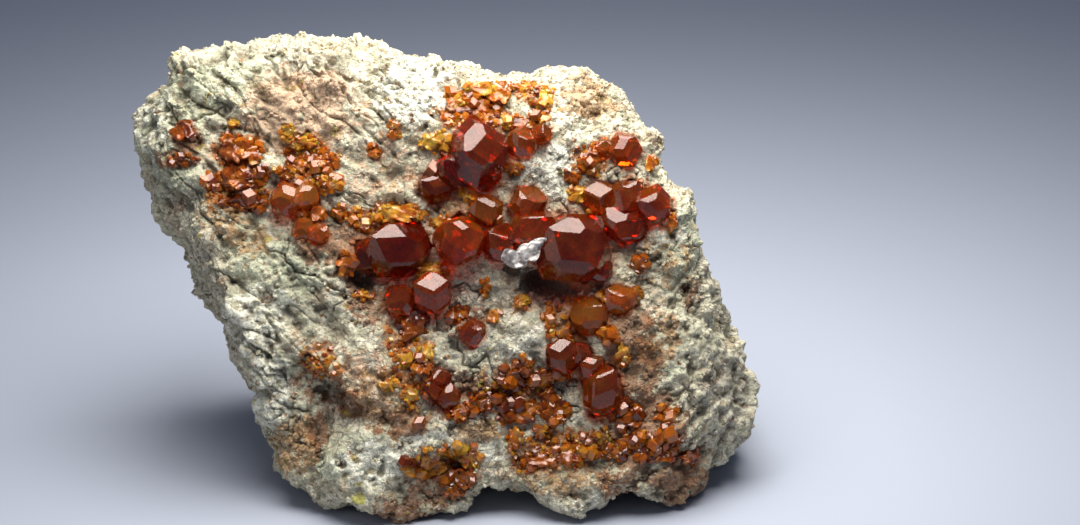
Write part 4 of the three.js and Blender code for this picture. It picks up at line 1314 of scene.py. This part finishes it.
def build_flake():
    """The white flake: a closed pillow with a jagged edge, whose thickness falls as a circle does
    and which chips roughen."""
    turn, ring = pillow_grid(160, 60)
    edge = np.array(FLAKE_EDGE, float) - FLAKE_MIDDLE
    angle = np.arctan2(edge[:, 1], edge[:, 0])
    order = np.argsort(angle)
    far = np.interp(turn, angle[order], np.hypot(*edge[order].T), period=2 * np.pi)
    out = np.sin(ring) ** 0.7 * far
    x, h = FLAKE_MIDDLE[0] + out * np.cos(turn), FLAKE_MIDDLE[1] + out * np.sin(turn)
    points = np.stack([x, h, np.zeros_like(x)], -1)
    lift = FLAKE_OUT + seat(FLAKE_MIDDLE)[0, 2] + 0.18 * (h - FLAKE_MIDDLE[1]) - 0.05 * x
    points[..., 2] = lift + 0.75 * np.cos(ring)
    flat = points.reshape(-1, 3)
    rough = 0.8 * chips(flat + 90, 1.7) + 0.5 * chips(flat + 70, 0.7)
    points[..., 2] += rough.reshape(x.shape) * np.sin(ring)
    points[:, -1] = points[:, 0]
    piece = add_mesh("flake", points.reshape(-1, 3), grid_faces(*x.shape, True), WHITE_MINERAL)
    merge_seam(piece)
    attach(piece, "root")
    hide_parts("white_flake")


def merge_seam(piece):
    """Joins the points that lie on each other at a seam or a pole."""
    shape = bmesh.new()
    shape.from_mesh(piece.data)
    bmesh.ops.remove_doubles(shape, verts=shape.verts, dist=1e-7)
    bmesh.ops.recalc_face_normals(shape, faces=shape.faces)
    shape.to_mesh(piece.data)
    shape.free()


# The floor, light and camera.

FLOOR_HALF = 2.5  # metres, which fills the view


def build_floor():
    """The floor, one square."""
    mesh = bpy.data.meshes.new("floor")
    corners = [(x * FLOOR_HALF, y * FLOOR_HALF, 0) for x, y in ((-1, -1), (1, -1), (1, 1), (-1, 1))]
    mesh.from_pydata(corners, [], [(0, 1, 2, 3)])
    mesh.materials.append(FLOOR)
    floor = add_object("floor", mesh)


def point_at(obj, place, target):
    """Puts a light or the camera at its place, turned toward its target, both in metres."""
    obj.location = place
    obj.rotation_euler = (Vector(target) - Vector(place)).to_track_quat("-Z", "Y").to_euler()


# The square area lights: name, place, target and size in metres, watts, colour, and spread in
# degrees.
LIGHTS = [
    ("softbox", (0.017, 0.002, 0.16), (0.017, 0.002, 0), 0.14, 0.45, (1, 0.985, 0.955), 150),
    ("fill", (-0.42, -0.2, 0.16), (-0.02, 0, 0.02), 0.3, 0.26, (1, 0.97, 0.93), 180),
]
SURROUND = ((0.45, 0.6, 1, 1), 0.14)  # its colour and strength


def build_lights():
    """A softbox above, whose grid holds its light off the far floor, a weak fill from the left and
    a dim blue surround."""
    for name, place, target, size, watts, colour, spread in LIGHTS:
        data = bpy.data.lights.new(name, "AREA")
        data.size = size
        data.energy = watts
        data.color = colour
        data.spread = np.radians(spread)
        point_at(add_object(name, data), place, target)
    world = bpy.data.worlds.new("studio")
    bpy.context.scene.world = world
    world.use_nodes = True
    background = world.node_tree.nodes["Background"]
    for target, value in zip(background.inputs, SURROUND):
        target.default_value = value


PHOTO_WIDTH = 1080
PIXELS_PER_MM = 7.0
CAMERA_DISTANCE = 428.0
SENSOR_WIDTH = 36.0
AIM = (12.857, 2.5, 0.0)  # the middle of the view, in the face frame


def build_camera():
    """The camera looks square at the crystal face, down by the lean, from CAMERA_DISTANCE."""
    aim = standing(AIM) * MM
    data = bpy.data.cameras.new("camera")
    data.sensor_width = SENSOR_WIDTH
    data.lens = SENSOR_WIDTH * CAMERA_DISTANCE / (PHOTO_WIDTH / PIXELS_PER_MM)
    data.clip_start, data.clip_end = 0.01, 10
    camera = add_object("camera", data)
    point_at(camera, aim + FACE_OUT * CAMERA_DISTANCE * MM, aim)
    bpy.context.scene.camera = camera


front_points, front_masks = build_stone()
build_grains(front_points, front_masks)
build_garnets()
build_crusts(front_points, front_masks)
build_seeds(front_points, front_masks)
build_bright_small()
build_flake()
build_floor()
build_lights()
build_camera()
bpy.context.scene.view_settings.view_transform = "Standard"
